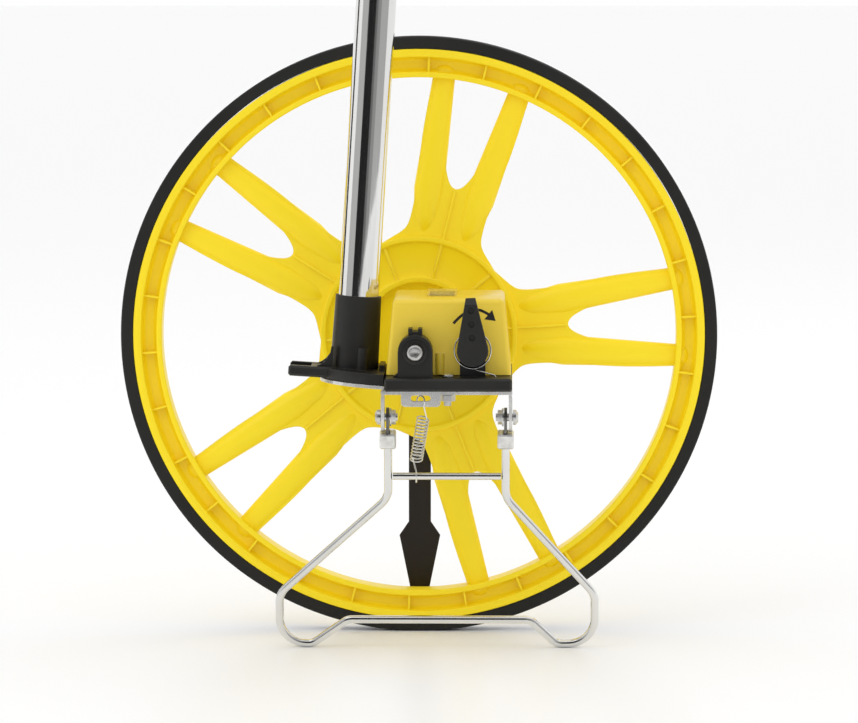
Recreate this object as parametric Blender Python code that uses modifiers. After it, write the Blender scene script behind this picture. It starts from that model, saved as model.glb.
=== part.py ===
"""Measuring wheel with a mechanical counter, telescopic handle and folding wire stand.

World frame: +X to the right when the counter faces the viewer, +Y away from the viewer, +Z up.
The floor is z = 0. Places are given as (x, depth, height): x from the wheel's axle, depth from the
wheel's middle plane towards the viewer, height from the axle. Lengths are in metres.
"""
from math import asin, atan2, ceil, cos, hypot, pi, radians, sin, sqrt, tan

import bmesh
import bpy
from mathutils import Matrix, Vector

# Fits
SEAT_GAP = 0.0003
RUN_GAP = 0.00009
OVERRUN = 0.002
MERGE = 0.00001

# Fineness of the round shapes
RIM_STEPS = 60
HUB_STEPS = 30
TUBE_STEPS = 24
SHAFT_STEPS = 20
DRUM_STEPS = 20
GRIP_STEPS = 16
SCREW_STEPS = 12
SPOKE_BAR_STEPS = 10
CORNER_PIECES = 4

# Wheel: one metre round the tyre
TYRE_RADIUS = 0.15915
TYRE_THICKNESS = 0.00635
TYRE_WIDTH = 0.0190
TYRE_EDGE = 0.0011
RIM_WIDTH = 0.0200
RIM_OUTER_LIP = 0.0042
RIM_DEPTH = 0.0151
RIM_INNER_LIP = 0.0029
RIM_INNER_WIDTH = 0.0170
RIM_WEB = 0.0040
RIM_RIB_COUNT = 30
RIM_RIB_THICKNESS = 0.0012
RIM_RIB_WIDTH = 0.0164
SPOKE_GROUPS = 5
SPOKE_PHASE = radians(3.9)
SPOKE_PLATE = 0.0050
SPOKE_BAR_WIDTH = 0.0088
SPOKE_BAR_DEPTH = 0.0130
HUB_RING_RADIUS = 0.0526
HUB_RING_WALL = 0.0027
HUB_RING_WIDTH = 0.0100
HUB_PLATE = 0.0056
RECESS_RING_RADIUS = 0.0310
RECESS_RING_WALL = 0.0030
RECESS_RING_WIDTH = 0.0120
RECESS_PLATE = 0.0036
BOSS_RADIUS = 0.0110
BOSS_WIDTH = 0.0300
HUB_RIB_THICKNESS = 0.0014
HUB_RIB_WIDTH = 0.0080

# Shares of the rim's inner radius: outer edge and opening of a half spoke pair, from the rim inwards
SPOKE_EDGE_SHARES = ((0.959, 0.189), (0.860, 0.184), (0.767, 0.177), (0.690, 0.168), (0.609, 0.157),
                     (0.520, 0.147), (0.440, 0.144), (0.395, 0.150), (0.366, 0.169))
OPENING_SHARES = ((0.975, 0.109), (0.918, 0.104), (0.830, 0.096), (0.734, 0.080), (0.665, 0.060),
                  (0.620, 0.041), (0.592, 0.022), (0.5815, 0.0))
OPENING_END_SHARE = 1.007
SPOKE_END_SHARE = 1.013
SPOKE_ROOT_SHARE = 0.27
SPOKE_BAR_START_SHARES = (0.370, 0.079)
SPOKE_BAR_END_SHARES = (1.044, 0.155)
LONG_RIB_SHARE = 0.575

# Axle and what turns on it
AXLE_RADIUS = 0.0040
AXLE_COLLAR_RADIUS = 0.0080
AXLE_COLLAR_LENGTH = 0.0030
AXLE_NUT_FLATS = 0.0130
AXLE_NUT_HEIGHT = 0.0050
AXLE_WASHER_RADIUS = 0.0080
AXLE_WASHER_THICKNESS = 0.0010
AXLE_SIDES = 24
END_SCREW_HEAD_RADIUS = 0.0040
END_SCREW_HEAD_HEIGHT = 0.0038
END_SCREW_HEAD_ROUNDING = 0.0008
END_SCREW_RADIUS = 0.0020
END_SCREW_LENGTH = 0.0100
END_SCREW_SOCKET_FLATS = 0.0030
END_SCREW_SOCKET_DEPTH = 0.0022

# Start pointer, a flat needle that hangs behind the wheel
POINTER_THICKNESS = 0.0020
POINTER_EYE_RADIUS = 0.0090
POINTER_WIDTH = 0.0119
POINTER_SHOULDER_WIDTH = 0.0220
POINTER_TIP_WIDTH = 0.0060
POINTER_SHOULDER_HEIGHT = 0.1038
POINTER_WIDEST_HEIGHT = 0.1112
POINTER_LENGTH = 0.1505

# Counter base, the black moulding that carries the axle
COUNTER_X = 0.0170
BASE_WIDTH = 0.0656
BASE_BACK_DEPTH = 0.0215
BASE_FRONT_DEPTH = 0.1185
BASE_TOP = -0.0133
BASE_THICKNESS = 0.0067
BASE_EDGE = 0.0010
ARCH_RADIUS = 0.0089
ARCH_BACK_DEPTH = 0.1012
ARCH_FRONT_DEPTH = 0.1150
ARCH_TAB_WIDTH = 0.0071
ARCH_TAB_HEIGHT = 0.0030
ARCH_TAB_GROOVE = 0.0030
REAR_ARCH_SET_IN = 0.0005
REAR_ARCH_THICKNESS = 0.0074
BUSH_RADIUS = 0.0052
BUSH_FLANGE_RADIUS = 0.0062
BUSH_FLANGE_THICKNESS = 0.0010
ARCH_SHOE_REACH = 0.0028
ARCH_SHOE_HEIGHT = 0.0022

# Counter housing, the yellow cover
HOUSING_WIDTH = 0.0646
HOUSING_TOP_WIDTH = 0.0575
HOUSING_BACK_DEPTH = 0.0302
HOUSING_FRONT_DEPTH = 0.1005
HOUSING_TOP_SET_BACK = 0.0012
HOUSING_TOP = 0.0260
HOUSING_WALL = 0.0018
HOUSING_EDGE = 0.0022
AXLE_SLOT_WIDTH = 0.0130
RESET_HOLE_SPACE = 0.0006
FACE_BOSS_X = 0.0126
FACE_BOSS_RADIUS = 0.0024
FACE_BOSS_TOP = -0.0016

# Reading window in the top of the housing
WINDOW_X = 0.0132
WINDOW_WIDTH = 0.0156
WINDOW_NEAR_DEPTH = 0.0770
WINDOW_LENGTH = 0.0400
WINDOW_FLANGE = 0.0008
WINDOW_RIM = 0.0014
WINDOW_PLUG = 0.0020

# Counter works
GEAR_TEETH = 19
GEAR_MODULE = 0.0010
GEAR_WIDTH = 0.0060
GEAR_BACK_DEPTH = 0.0845
GEAR_ROOT_SHARE = 1.12
GEAR_TIP_SHARE = 0.86
TOOTH_ROOT_SHARE = 0.29
TOOTH_TIP_SHARE = 0.105
DRUM_COUNT = 5
DRUM_RADIUS = 0.0086
DRUM_PITCH = 0.0072
DRUM_GAP = 0.0006
DRUM_SHAFT_RADIUS = 0.0020
DRUM_BACK_DEPTH = 0.0392
PINION_TEETH = 8
PINION_TOOTH_SHARE = 1.0
PINION_RADIUS = 0.0034
PINION_WIDTH = 0.0030
PINION_SHAFT_RADIUS = 0.0011
PINION_DIRECTION = radians(-18)
FRAME_SHEET = 0.0014
FRAME_BACK_DEPTH = 0.0350
FRAME_FRONT_DEPTH = 0.0790
FRAME_LEFT = 0.0085
FRAME_RIGHT = 0.0360
FRAME_TOP = 0.0205

# Reset lever and its works
LEVER_X = 0.0295
LEVER_HEIGHT = 0.0006
LEVER_EYE_RADIUS = 0.0081
LEVER_REACH = 0.0272
LEVER_LEAN = radians(2.3)
LEVER_TIP_WIDTH = 0.0050
LEVER_BACK_DEPTH = 0.1112
LEVER_THICKNESS = 0.0046
LEVER_HUB_RADIUS = 0.0080
LEVER_EDGE = 0.0006
LEVER_TIP_CHAMFER = 0.0031
LEVER_DIMPLE_RADIUS = 0.0020
LEVER_DIMPLE_DEPTH = 0.0012
LEVER_DIMPLE_FIRST = 0.0070
LEVER_DIMPLE_PITCH = 0.0070
LEVER_DIMPLES = 3
LEVER_POST_WIDTH = 0.0132
LEVER_POST_BACK_DEPTH = 0.1012
LEVER_POST_FRONT_DEPTH = 0.1062
RESET_SHAFT_RADIUS = 0.0025
RESET_SHAFT_BACK_DEPTH = 0.0345
RESET_FINGER_LENGTH = 0.0116
RESET_FINGER_THICKNESS = 0.0018
RESET_FINGER_WIDTH = 0.0032
RESET_HUB_RADIUS = 0.0042
RESET_FINGER_REST = radians(205)

# Torsion spring behind the lever
TORSION_RADIUS = 0.0094
TORSION_WIRE = 0.00075
TORSION_TURNS = 2.25
TORSION_PITCH = 0.00128
TORSION_POINTS = 10
TORSION_START = radians(-109)
TORSION_LEG_X = 0.0412

# Steel bracket under the counter
BRACKET_X = 0.0161
BRACKET_WIDTH = 0.0676
BRACKET_SHEET = 0.0018
BRACKET_BACK_DEPTH = 0.0215
BRACKET_FRONT_DEPTH = 0.1120
BRACKET_BEND = 0.0042
EAR_EYE_RADIUS = 0.0075
TAB_X = 0.0029
TAB_WIDTH = 0.0203
TAB_DROP = 0.0062
TAB_CORNER = 0.0020
SLOT_WIDTH = 0.0103
SLOT_HEIGHT = 0.0030

# Handle plate and socket; the plate's wing and the socket lean with the handle
HANDLE_DEPTH = 0.0720
HANDLE_LEAN = radians(3.48)
HANDLE_FOOT_X = -0.0328
PLATE_SHEET = 0.0017
PLATE_END_RADIUS = 0.0337
PLATE_BEND_X = -0.0168
PLATE_RIGHT_X = 0.0060
SOCKET_RADIUS = 0.0119
SOCKET_FOOT_RADIUS = 0.0126
SOCKET_HEIGHT = 0.0432
SOCKET_FLOOR = 0.0030
FLANGE_THICKNESS = 0.0055
FLANGE_RADIUS = 0.0330
FLANGE_RIGHT_GAP = 0.0008
FLANGE_LUG_WIDTH = 0.0030
FLANGE_LUG_HEIGHT = 0.0030
FLANGE_LUG_LENGTH = 0.0120
TONGUE_LENGTH = 0.0338
TONGUE_WIDTH = 0.0280
TONGUE_GROOVE_WIDTH = 0.0190
TONGUE_GROOVE_DEPTH = 0.0020
GUSSET_REACH = 0.0100
GUSSET_HEIGHT = 0.0110
GUSSET_THICKNESS = 0.0026
GUSSET_SPACING = 0.0180
SOCKET_BOSS_RADIUS = 0.0031
SOCKET_BOSS_HEIGHT = 0.0113
SOCKET_BOSS_X_OFFSET = 0.0044
SOCKET_BOSS_STANDOFF = 0.0122

# Telescopic tubes, locks and grip, measured along the handle from the flange's foot
TUBE_RADIUS = 0.0105
TUBE_WALL = 0.0010
OUTER_TUBE_LENGTH = 0.2720
TUBE_STAGGER = 0.0040
LOCK_RADIUS = 0.0134
LOCK_LENGTH = 0.0300
LOCK_SEAT = 0.0160
LOCK_EDGE = 0.0015
LOCK_RIBS = 6
LOCK_RIB_RADIUS = 0.0013
LOCK_SPACE = 0.0006
GRIP_SPACE = 0.0054
GRIP_RADIUS = 0.0142
GRIP_LENGTH = 0.1050
GRIP_RIBS = 6
GRIP_GROOVE = 0.0011
CAP_RADIUS = 0.0150
CAP_HEIGHT = 0.0070
CAP_PLUG_LENGTH = 0.0120

# Wire stand, hinged on the bracket's ears; drops are measured down its leaning plane
PIVOT_DEPTH = 0.1030
PIVOT_HEIGHT = -0.0345
STAND_FOOT_DEPTH = 0.0690
STRIP_SHEET = 0.0016
STRIP_WIDTH = 0.0100
STRIP_SPACE = 0.0008
STRIP_DROP = 0.0110
CRIMP_SIZE = 0.0084
CRIMP_DROP = 0.0082
CRIMP_LENGTH = 0.0082
CRIMP_EDGE = 0.0008
WIRE_RADIUS = 0.0021
CROSSBAR_RADIUS = 0.0019
CROSSBAR_DROP = 0.0328
LEG_BEND_DROP = 0.0447
LEG_BEND_RADIUS = 0.0120
LOBE_DROP = 0.0990
LOBE_RADIUS = 0.0120
FOOT_RADIUS = 0.0140
BAR_DROP = 0.1136
BAR_BEND_RADIUS = 0.0070
LEFT_REACH = 0.0878
LEFT_FOOT_LENGTH = 0.0173
LEFT_BAR_INSET = 0.0357
RIGHT_REACH = 0.0770
RIGHT_FOOT_LENGTH = 0.0200
RIGHT_BAR_INSET = 0.0336

# Stand fasteners
PIVOT_SCREW_RADIUS = 0.0020
PIVOT_HEAD_RADIUS = 0.0039
PIVOT_HEAD_HEIGHT = 0.0028
PIVOT_WASHER_RADIUS = 0.0047
PIVOT_WASHER_THICKNESS = 0.0008
PIVOT_NUT_FLATS = 0.0066
PIVOT_NUT_HEIGHT = 0.0022
PIVOT_SCREW_END = 0.0010
PAN_CROWN_SHARES = (0.55, 0.6)

# Base and plate screws
BASE_SCREW_RADIUS = 0.0019
BASE_SCREW_HEAD_RADIUS = 0.0032
BASE_SCREW_HEAD_HEIGHT = 0.0018
BASE_SCREW_END = 0.0024
BASE_NUT_FLATS = 0.0070
BASE_NUT_HEIGHT = 0.0032
BASE_SCREW_FRONT = (0.0166, 0.1080)
BASE_SCREW_REAR = (0.0300, 0.0258)
PILOT_ROOF = 0.0010
PLATE_SCREW_X = -0.0070
PLATE_SCREW_SPACING = 0.0320
PLATE_SCREW_DEPTH = 0.0620
SOCKET_SCREW_RADIUS = 0.0015
SOCKET_SCREW_HEAD = 0.0029
SOCKET_SCREW_LENGTH = 0.0100

# Extension spring between the bracket's slot and the crossbar
SPRING_RADIUS = 0.00305
SPRING_WIRE = 0.00080
SPRING_TURNS = 13.5
SPRING_POINTS = 9
SPRING_TOP_X = 0.0041
SPRING_BOTTOM_X = 0.0003
SPRING_START_SHARE = 0.21
SPRING_END_SHARE = 0.785
HOOK_RADIUS = 0.0031
HOOK_TURN = radians(40)
HOOK_POINTS = 12

# Derived places
AXIS_HEIGHT = TYRE_RADIUS
RIM_RADIUS = TYRE_RADIUS - TYRE_THICKNESS - SEAT_GAP
RIM_INNER_RADIUS = RIM_RADIUS - RIM_DEPTH
BOSS_END = BOSS_WIDTH / 2
WHEEL_NUT_DEPTH = -BOSS_END - SEAT_GAP
POINTER_WASHER_DEPTH = WHEEL_NUT_DEPTH - AXLE_NUT_HEIGHT
POINTER_DEPTH = POINTER_WASHER_DEPTH - AXLE_WASHER_THICKNESS - SEAT_GAP
POINTER_OUTER_WASHER_DEPTH = POINTER_DEPTH - POINTER_THICKNESS - SEAT_GAP
POINTER_NUT_DEPTH = POINTER_OUTER_WASHER_DEPTH - AXLE_WASHER_THICKNESS - SEAT_GAP
AXLE_BACK_DEPTH = POINTER_NUT_DEPTH - AXLE_NUT_HEIGHT
FRONT_BUSH_FACE = ARCH_FRONT_DEPTH + BUSH_FLANGE_THICKNESS + SEAT_GAP
AXLE_FRONT_DEPTH = FRONT_BUSH_FACE + SEAT_GAP
END_SCREW_FACE = AXLE_FRONT_DEPTH + SEAT_GAP + END_SCREW_HEAD_HEIGHT
WHEEL_Y = (END_SCREW_FACE + AXLE_BACK_DEPTH) / 2
BASE_BOTTOM = BASE_TOP - BASE_THICKNESS
BRACKET_TOP = BASE_BOTTOM - SEAT_GAP
BRACKET_BOTTOM = BRACKET_TOP - BRACKET_SHEET
PLATE_BOTTOM = BRACKET_TOP + SEAT_GAP
PLATE_TOP = PLATE_BOTTOM + PLATE_SHEET
HANDLE_FOOT = PLATE_TOP + (PLATE_BEND_X - HANDLE_FOOT_X) * tan(HANDLE_LEAN) + SEAT_GAP
FLANGE_CENTRE_X = (PLATE_BEND_X - HANDLE_FOOT_X) / cos(HANDLE_LEAN)
HOUSING_BOTTOM = BASE_TOP + SEAT_GAP
REAR_ARCH_BACK_DEPTH = BASE_BACK_DEPTH + REAR_ARCH_SET_IN
LEVER_HUB_BACK_DEPTH = LEVER_POST_FRONT_DEPTH + SEAT_GAP
TORSION_LEG_DEPTH = LEVER_HUB_BACK_DEPTH + TORSION_WIRE
GEAR_PITCH_RADIUS = GEAR_TEETH * GEAR_MODULE / 2
DRUM_X = WINDOW_X
DRUM_HEIGHT = sqrt((2 * GEAR_PITCH_RADIUS) ** 2 - DRUM_X ** 2)
DRUM_FRONT_DEPTH = DRUM_BACK_DEPTH + DRUM_COUNT * DRUM_PITCH
PINION_DISTANCE = DRUM_RADIUS + PINION_RADIUS + SEAT_GAP
PINION_X = DRUM_X + PINION_DISTANCE * cos(PINION_DIRECTION)
PINION_HEIGHT = DRUM_HEIGHT + PINION_DISTANCE * sin(PINION_DIRECTION)
STAND_LEAN = atan2(PIVOT_DEPTH - STAND_FOOT_DEPTH,
                   PIVOT_HEIGHT + AXIS_HEIGHT - WIRE_RADIUS)
STAND_DROP = (PIVOT_HEIGHT + AXIS_HEIGHT - WIRE_RADIUS) / cos(STAND_LEAN)
EAR_OUTER = BRACKET_WIDTH / 2
EAR_INNER = EAR_OUTER - BRACKET_SHEET
STRIP_OUTER = EAR_INNER - STRIP_SPACE
STRIP_INNER = STRIP_OUTER - STRIP_SHEET
LEG_OFFSET = (STRIP_OUTER + STRIP_INNER) / 2
LEG_TOP = STRIP_DROP + SEAT_GAP
TAB_DEPTH = BRACKET_FRONT_DEPTH - BRACKET_SHEET / 2
TAB_LOW = BRACKET_BOTTOM - TAB_DROP
SLOT_LOW = BRACKET_BOTTOM - SEAT_GAP - SLOT_HEIGHT
MIDDLE_RADIUS = TUBE_RADIUS - TUBE_WALL - RUN_GAP
INNER_RADIUS = MIDDLE_RADIUS - TUBE_WALL - RUN_GAP
OUTER_START = SOCKET_FLOOR + SEAT_GAP
OUTER_END = OUTER_START + OUTER_TUBE_LENGTH
MIDDLE_START = OUTER_START + TUBE_STAGGER
MIDDLE_END = OUTER_END + LOCK_LENGTH + LOCK_SPACE
INNER_START = MIDDLE_START + TUBE_STAGGER
INNER_END = MIDDLE_END - LOCK_SEAT + LOCK_LENGTH + GRIP_SPACE + GRIP_LENGTH
LOWER_LOCK_START = OUTER_END - LOCK_SEAT
UPPER_LOCK_START = MIDDLE_END - LOCK_SEAT
CRIMP_BOTTOM = CRIMP_DROP + CRIMP_LENGTH


def at(x, depth, height):
    """World place of a point given from the axle and the wheel's middle plane."""
    return Vector((x, WHEEL_Y - depth, AXIS_HEIGHT + height))


# Ways a flat or turned shape can lie: facing the viewer, flat on the ground or edge on
FACING = (pi / 2, 0, 0)
LYING = (0, 0, 0)
SIDEWAYS = (pi / 2, 0, pi / 2)
UPSIDE_DOWN = (pi, 0, 0)

# Leaning frames: x right, y away from the viewer, z up along the handle or the stand
HANDLE_FRAME = (Matrix.Translation(at(HANDLE_FOOT_X, HANDLE_DEPTH, HANDLE_FOOT))
                @ Matrix.Rotation(HANDLE_LEAN, 4, "Y"))
STAND_FRAME = (Matrix.Translation(at(BRACKET_X, PIVOT_DEPTH, PIVOT_HEIGHT))
               @ Matrix.Rotation(STAND_LEAN, 4, "X"))


def on_stand(x, drop):
    """World place on the stand's leaning plane, across from its middle and down from its pivot."""
    return STAND_FRAME @ Vector((x, 0, -drop))


# Scene and materials

def clear_scene():
    """Remove what the scene holds."""
    for old in list(bpy.data.objects):
        bpy.data.objects.remove(old, do_unlink=True)
    for old in list(bpy.data.collections):
        bpy.data.collections.remove(old)


def new_collection(name, parent=None):
    """A collection, inside another where one is given."""
    made = bpy.data.collections.new(name)
    if parent is not None:
        parent.children.link(made)
    return made


clear_scene()
PARTS = new_collection("measuring_wheel")
SHAPES = new_collection("shaping_solids")


def material(name, colour, roughness, metallic=0.0):
    """A plain Principled material."""
    made = bpy.data.materials.new(name)
    made.use_nodes = True
    shader = made.node_tree.nodes["Principled BSDF"]
    shader.inputs["Base Color"].default_value = (*colour, 1)
    shader.inputs["Roughness"].default_value = roughness
    shader.inputs["Metallic"].default_value = metallic
    made.diffuse_color = (*colour, 1)
    return made


YELLOW = material("wheel_yellow", (1.0, 0.72, 0.01), 0.3)
COVER_YELLOW = material("cover_yellow", (0.95, 0.68, 0.03), 0.4)
BLACK = material("black_plastic", (0.012, 0.012, 0.013), 0.4)
RUBBER = material("black_rubber", (0.02, 0.02, 0.02), 0.75)
CHROME = material("chrome", (0.75, 0.75, 0.76), 0.1, 1.0)
ZINC = material("zinc", (0.62, 0.62, 0.63), 0.3, 1.0)
STEEL = material("steel", (0.5, 0.5, 0.5), 0.35, 1.0)
CLEAR = material("clear_lens", (0.95, 0.8, 0.3), 0.05)
WHITE = material("drum_white", (0.8, 0.8, 0.78), 0.5)
PAINT = material("pointer_black", (0.015, 0.012, 0.011), 0.5)


# Shapes

def add_object(name, data, collection, finish=None):
    """Link a mesh or curve as a new object."""
    made = bpy.data.objects.new(name, data)
    collection.objects.link(made)
    if finish is not None:
        data.materials.append(finish)
    return made


def shaping(solid):
    """Set a helper solid aside so that only its effect shows."""
    solid.hide_render = True
    solid.display_type = "WIRE"
    return solid


def block(name, corner, other, collection=SHAPES, finish=None):
    """A block between two opposite corners."""
    mesh = bpy.data.meshes.new(name)
    work = bmesh.new()
    bmesh.ops.create_cube(work, size=1)
    spans = [abs(a - b) for a, b in zip(corner, other)]
    bmesh.ops.scale(work, vec=spans, verts=work.verts)
    work.to_mesh(mesh)
    work.free()
    made = add_object(name, mesh, collection, finish)
    made.location = (Vector(corner) + Vector(other)) / 2
    return made


def box(name, low, high, collection=SHAPES, finish=None):
    """A block between two (x, depth, height) corners."""
    return block(name, at(*low), at(*high), collection, finish)


def turned(name, profile, place, steps, collection=SHAPES, finish=None, closed=False, rotation=FACING):
    """A turned solid: the profile's (radius, height) points run down the outer side.

    When it faces the viewer, a point's height is its depth towards the viewer.
    """
    mesh = bpy.data.meshes.new(name)
    points = [(radius, 0, height) for radius, height in profile]
    edges = [(i, i + 1) for i in range(len(points) - 1)]
    if closed:
        edges.append((len(points) - 1, 0))
    mesh.from_pydata(points, edges, [])
    made = add_object(name, mesh, collection, finish)
    made.location = place
    made.rotation_euler = rotation
    screw = made.modifiers.new("turn", "SCREW")
    screw.axis = "Z"
    screw.angle = 2 * pi
    screw.steps = steps
    screw.render_steps = steps
    screw.use_merge_vertices = True
    screw.merge_threshold = MERGE
    return freeze(made)


def ring(name, inner, outer, back, front, place, steps, collection=SHAPES, finish=None, rotation=FACING):
    """A plain turned ring between two radii and two stations."""
    profile = ((outer, front), (outer, back), (inner, back), (inner, front))
    return turned(name, profile, place, steps, collection, finish, True, rotation)


def rod(name, radius, back, front, place, steps, collection=SHAPES, finish=None, rotation=FACING):
    """A plain turned rod between two stations."""
    profile = ((0, front), (radius, front), (radius, back), (0, back))
    return turned(name, profile, place, steps, collection, finish, False, rotation)


def into_frame(frame, *solids):
    """Move solids that were built about the origin into a leaning frame."""
    for solid in solids:
        solid.matrix_basis = frame @ solid.matrix_basis
    return solids


def freeze(made):
    """Swap an object for a welded mesh of what it evaluates to."""
    name = made.name
    collection = made.users_collection[0]
    bpy.context.scene.collection.objects.link(made)
    evaluated = made.evaluated_get(bpy.context.evaluated_depsgraph_get())
    mesh = bpy.data.meshes.new_from_object(evaluated)
    matrix = made.matrix_basis.copy()
    bpy.data.objects.remove(made, do_unlink=True)
    work = bmesh.new()
    work.from_mesh(mesh)
    bmesh.ops.remove_doubles(work, verts=work.verts, dist=MERGE)
    work.to_mesh(mesh)
    work.free()
    mesh.name = name
    swapped = bpy.data.objects.new(name, mesh)
    swapped.matrix_basis = matrix
    collection.objects.link(swapped)
    return swapped


def flat(name, outlines, thickness, place, collection=SHAPES, finish=None, rotation=FACING):
    """A flat piece cut to one outline, with any further outlines as holes."""
    curve = bpy.data.curves.new(name, "CURVE")
    curve.dimensions = "2D"
    curve.fill_mode = "BOTH"
    curve.extrude = thickness / 2
    for outline in outlines:
        spline = curve.splines.new("POLY")
        spline.points.add(len(outline) - 1)
        for point, (across, up) in zip(spline.points, outline):
            point.co = (across, up, 0, 1)
        spline.use_cyclic_u = True
    made = add_object(name, curve, collection, finish)
    made.location = place
    made.rotation_euler = rotation
    return freeze(made)


def wire(name, points, radius, sides_level, collection=SHAPES, finish=None):
    """A round wire through world points, with closed ends."""
    curve = bpy.data.curves.new(name, "CURVE")
    curve.dimensions = "3D"
    curve.bevel_depth = radius
    curve.bevel_resolution = sides_level
    curve.use_fill_caps = True
    spline = curve.splines.new("POLY")
    spline.points.add(len(points) - 1)
    origin = Vector(points[0])
    for point, place in zip(spline.points, points):
        point.co = (*(Vector(place) - origin), 1)
    made = add_object(name, curve, collection, finish)
    made.location = origin
    return freeze(made)


def combine(target, solids, operation):
    """Join solids to a piece, or cut them from it, in one step."""
    group = new_collection(f"{target.name}_{operation.lower()}_{len(target.modifiers)}", SHAPES)
    for solid in solids:
        for holder in list(solid.users_collection):
            holder.objects.unlink(solid)
        group.objects.link(shaping(solid))
    step = target.modifiers.new(operation.lower(), "BOOLEAN")
    step.operation = operation
    step.operand_type = "COLLECTION"
    step.collection = group
    step.solver = "EXACT"
    return target


def join(target, *solids):
    """Make the solids one with the piece."""
    return combine(target, solids, "UNION")


def carve(target, *solids):
    """Cut the solids from the piece."""
    return combine(target, solids, "DIFFERENCE")


def soften(made, width, segments=1, angle=radians(40)):
    """Round a piece's sharp edges."""
    bevel = made.modifiers.new("edges", "BEVEL")
    bevel.width = width
    bevel.segments = segments
    bevel.limit_method = "ANGLE"
    bevel.angle_limit = angle
    bevel.use_clamp_overlap = True
    return made


def round_shading(made, angle=radians(35)):
    """Smooth shading that keeps sharp edges."""
    mesh = made.data
    mesh.shade_smooth()
    mesh.set_sharp_from_angle(angle=angle)
    return made


def hexagon(flats):
    """Outline of a hexagon across its flats."""
    corner = flats / 2 / cos(pi / 6)
    return [(corner * cos(i * pi / 3), corner * sin(i * pi / 3)) for i in range(6)]


def circle(radius, sides, centre=(0, 0), phase=0.0):
    """Outline of a circle."""
    return [(centre[0] + radius * cos(phase + 2 * pi * i / sides),
             centre[1] + radius * sin(phase + 2 * pi * i / sides)) for i in range(sides)]


def arc(centre, radius, start, end, pieces):
    """Points on an arc, both ends included."""
    return [(centre[0] + radius * cos(start + (end - start) * i / pieces),
             centre[1] + radius * sin(start + (end - start) * i / pieces)) for i in range(pieces + 1)]


def filleted(corners, radii, pieces):
    """A path in space through corners, each rounded by its own radius."""
    path = [Vector(corners[0])]
    for before, corner, after, radius in zip(corners, corners[1:], corners[2:], radii):
        corner = Vector(corner)
        back = (Vector(before) - corner).normalized()
        onward = (Vector(after) - corner).normalized()
        half = back.angle(onward) / 2
        reach = radius / (sin(half) / cos(half))
        centre = corner + (back + onward).normalized() * radius / sin(half)
        start = corner + back * reach - centre
        end = corner + onward * reach - centre
        sweep = start.angle(end)
        for i in range(pieces + 1):
            share = i / pieces
            turned_arm = (start * sin((1 - share) * sweep) + end * sin(share * sweep)) / sin(sweep)
            path.append(centre + turned_arm)
    path.append(Vector(corners[-1]))
    return path


def helix(top, bottom, radius, turns, points_a_turn, start_direction):
    """Points of a coil between two places on its axis."""
    axis = (bottom - top).normalized()
    first = (start_direction - axis * start_direction.dot(axis)).normalized()
    second = axis.cross(first)
    count = ceil(turns * points_a_turn)
    path = []
    for i in range(count + 1):
        turn = 2 * pi * turns * i / count
        path.append(top + (bottom - top) * i / count + radius * (first * cos(turn) + second * sin(turn)))
    return path


def least_self_gap(name, path, wire_radius, near_steps):
    """Print the least gap between a wire's own turns, measured on its points."""
    least = min((path[i] - path[j]).length
                for i in range(len(path)) for j in range(i + near_steps, len(path)))
    print(f"{name}: least gap to itself {(least - 2 * wire_radius) * 1000:.2f} mm")


def carrier(name, place):
    """An empty on a joint's axis, which carries the pieces that move about it."""
    made = bpy.data.objects.new(name, None)
    PARTS.objects.link(made)
    made.location = place
    return made


def carry(parent, *pieces):
    """Put pieces on a carrier without moving them."""
    for piece in pieces:
        piece.parent = parent
        piece.location = piece.location - parent.location


# Wheel

def in_group(along, across, group):
    """A point of a spoke pair, given along and across its middle line."""
    angle = SPOKE_PHASE + 2 * pi * group / SPOKE_GROUPS
    return (along * cos(angle) - across * sin(angle), along * sin(angle) + across * cos(angle))


def spider_outlines():
    """Outline of the spokes and hub, and of the five openings between paired spokes."""
    outer = []
    openings = []
    for group in range(SPOKE_GROUPS):
        rim_end = SPOKE_END_SHARE * RIM_INNER_RADIUS
        edge = [(along * RIM_INNER_RADIUS, across * RIM_INNER_RADIUS) for along, across in SPOKE_EDGE_SHARES]
        half_angle = asin(edge[0][1] / rim_end)
        outer += [in_group(along, -across, group) for along, across in reversed(edge)]
        rim_arc = arc((0, 0), rim_end, -half_angle, half_angle, 6)
        outer += [in_group(along, across, group) for along, across in rim_arc]
        outer += [in_group(along, across, group) for along, across in edge]
        valley = 2 * pi / SPOKE_GROUPS / 2
        outer.append(in_group(HUB_RING_RADIUS * cos(valley), HUB_RING_RADIUS * sin(valley), group))
        side = [(along * RIM_INNER_RADIUS, across * RIM_INNER_RADIUS) for along, across in OPENING_SHARES]
        left = [in_group(along, across, group) for along, across in side]
        right = [in_group(along, -across, group) for along, across in reversed(side[:-1])]
        opening_end = OPENING_END_SHARE * RIM_INNER_RADIUS
        opening_half = asin(side[0][1] / opening_end)
        end = [in_group(along, across, group)
               for along, across in arc((0, 0), opening_end, -opening_half, opening_half, CORNER_PIECES)]
        openings.append(left + right + end)
    hub_hole = circle(SPOKE_ROOT_SHARE * RIM_INNER_RADIUS, HUB_STEPS)
    return [outer, *openings, hub_hole]


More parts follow.
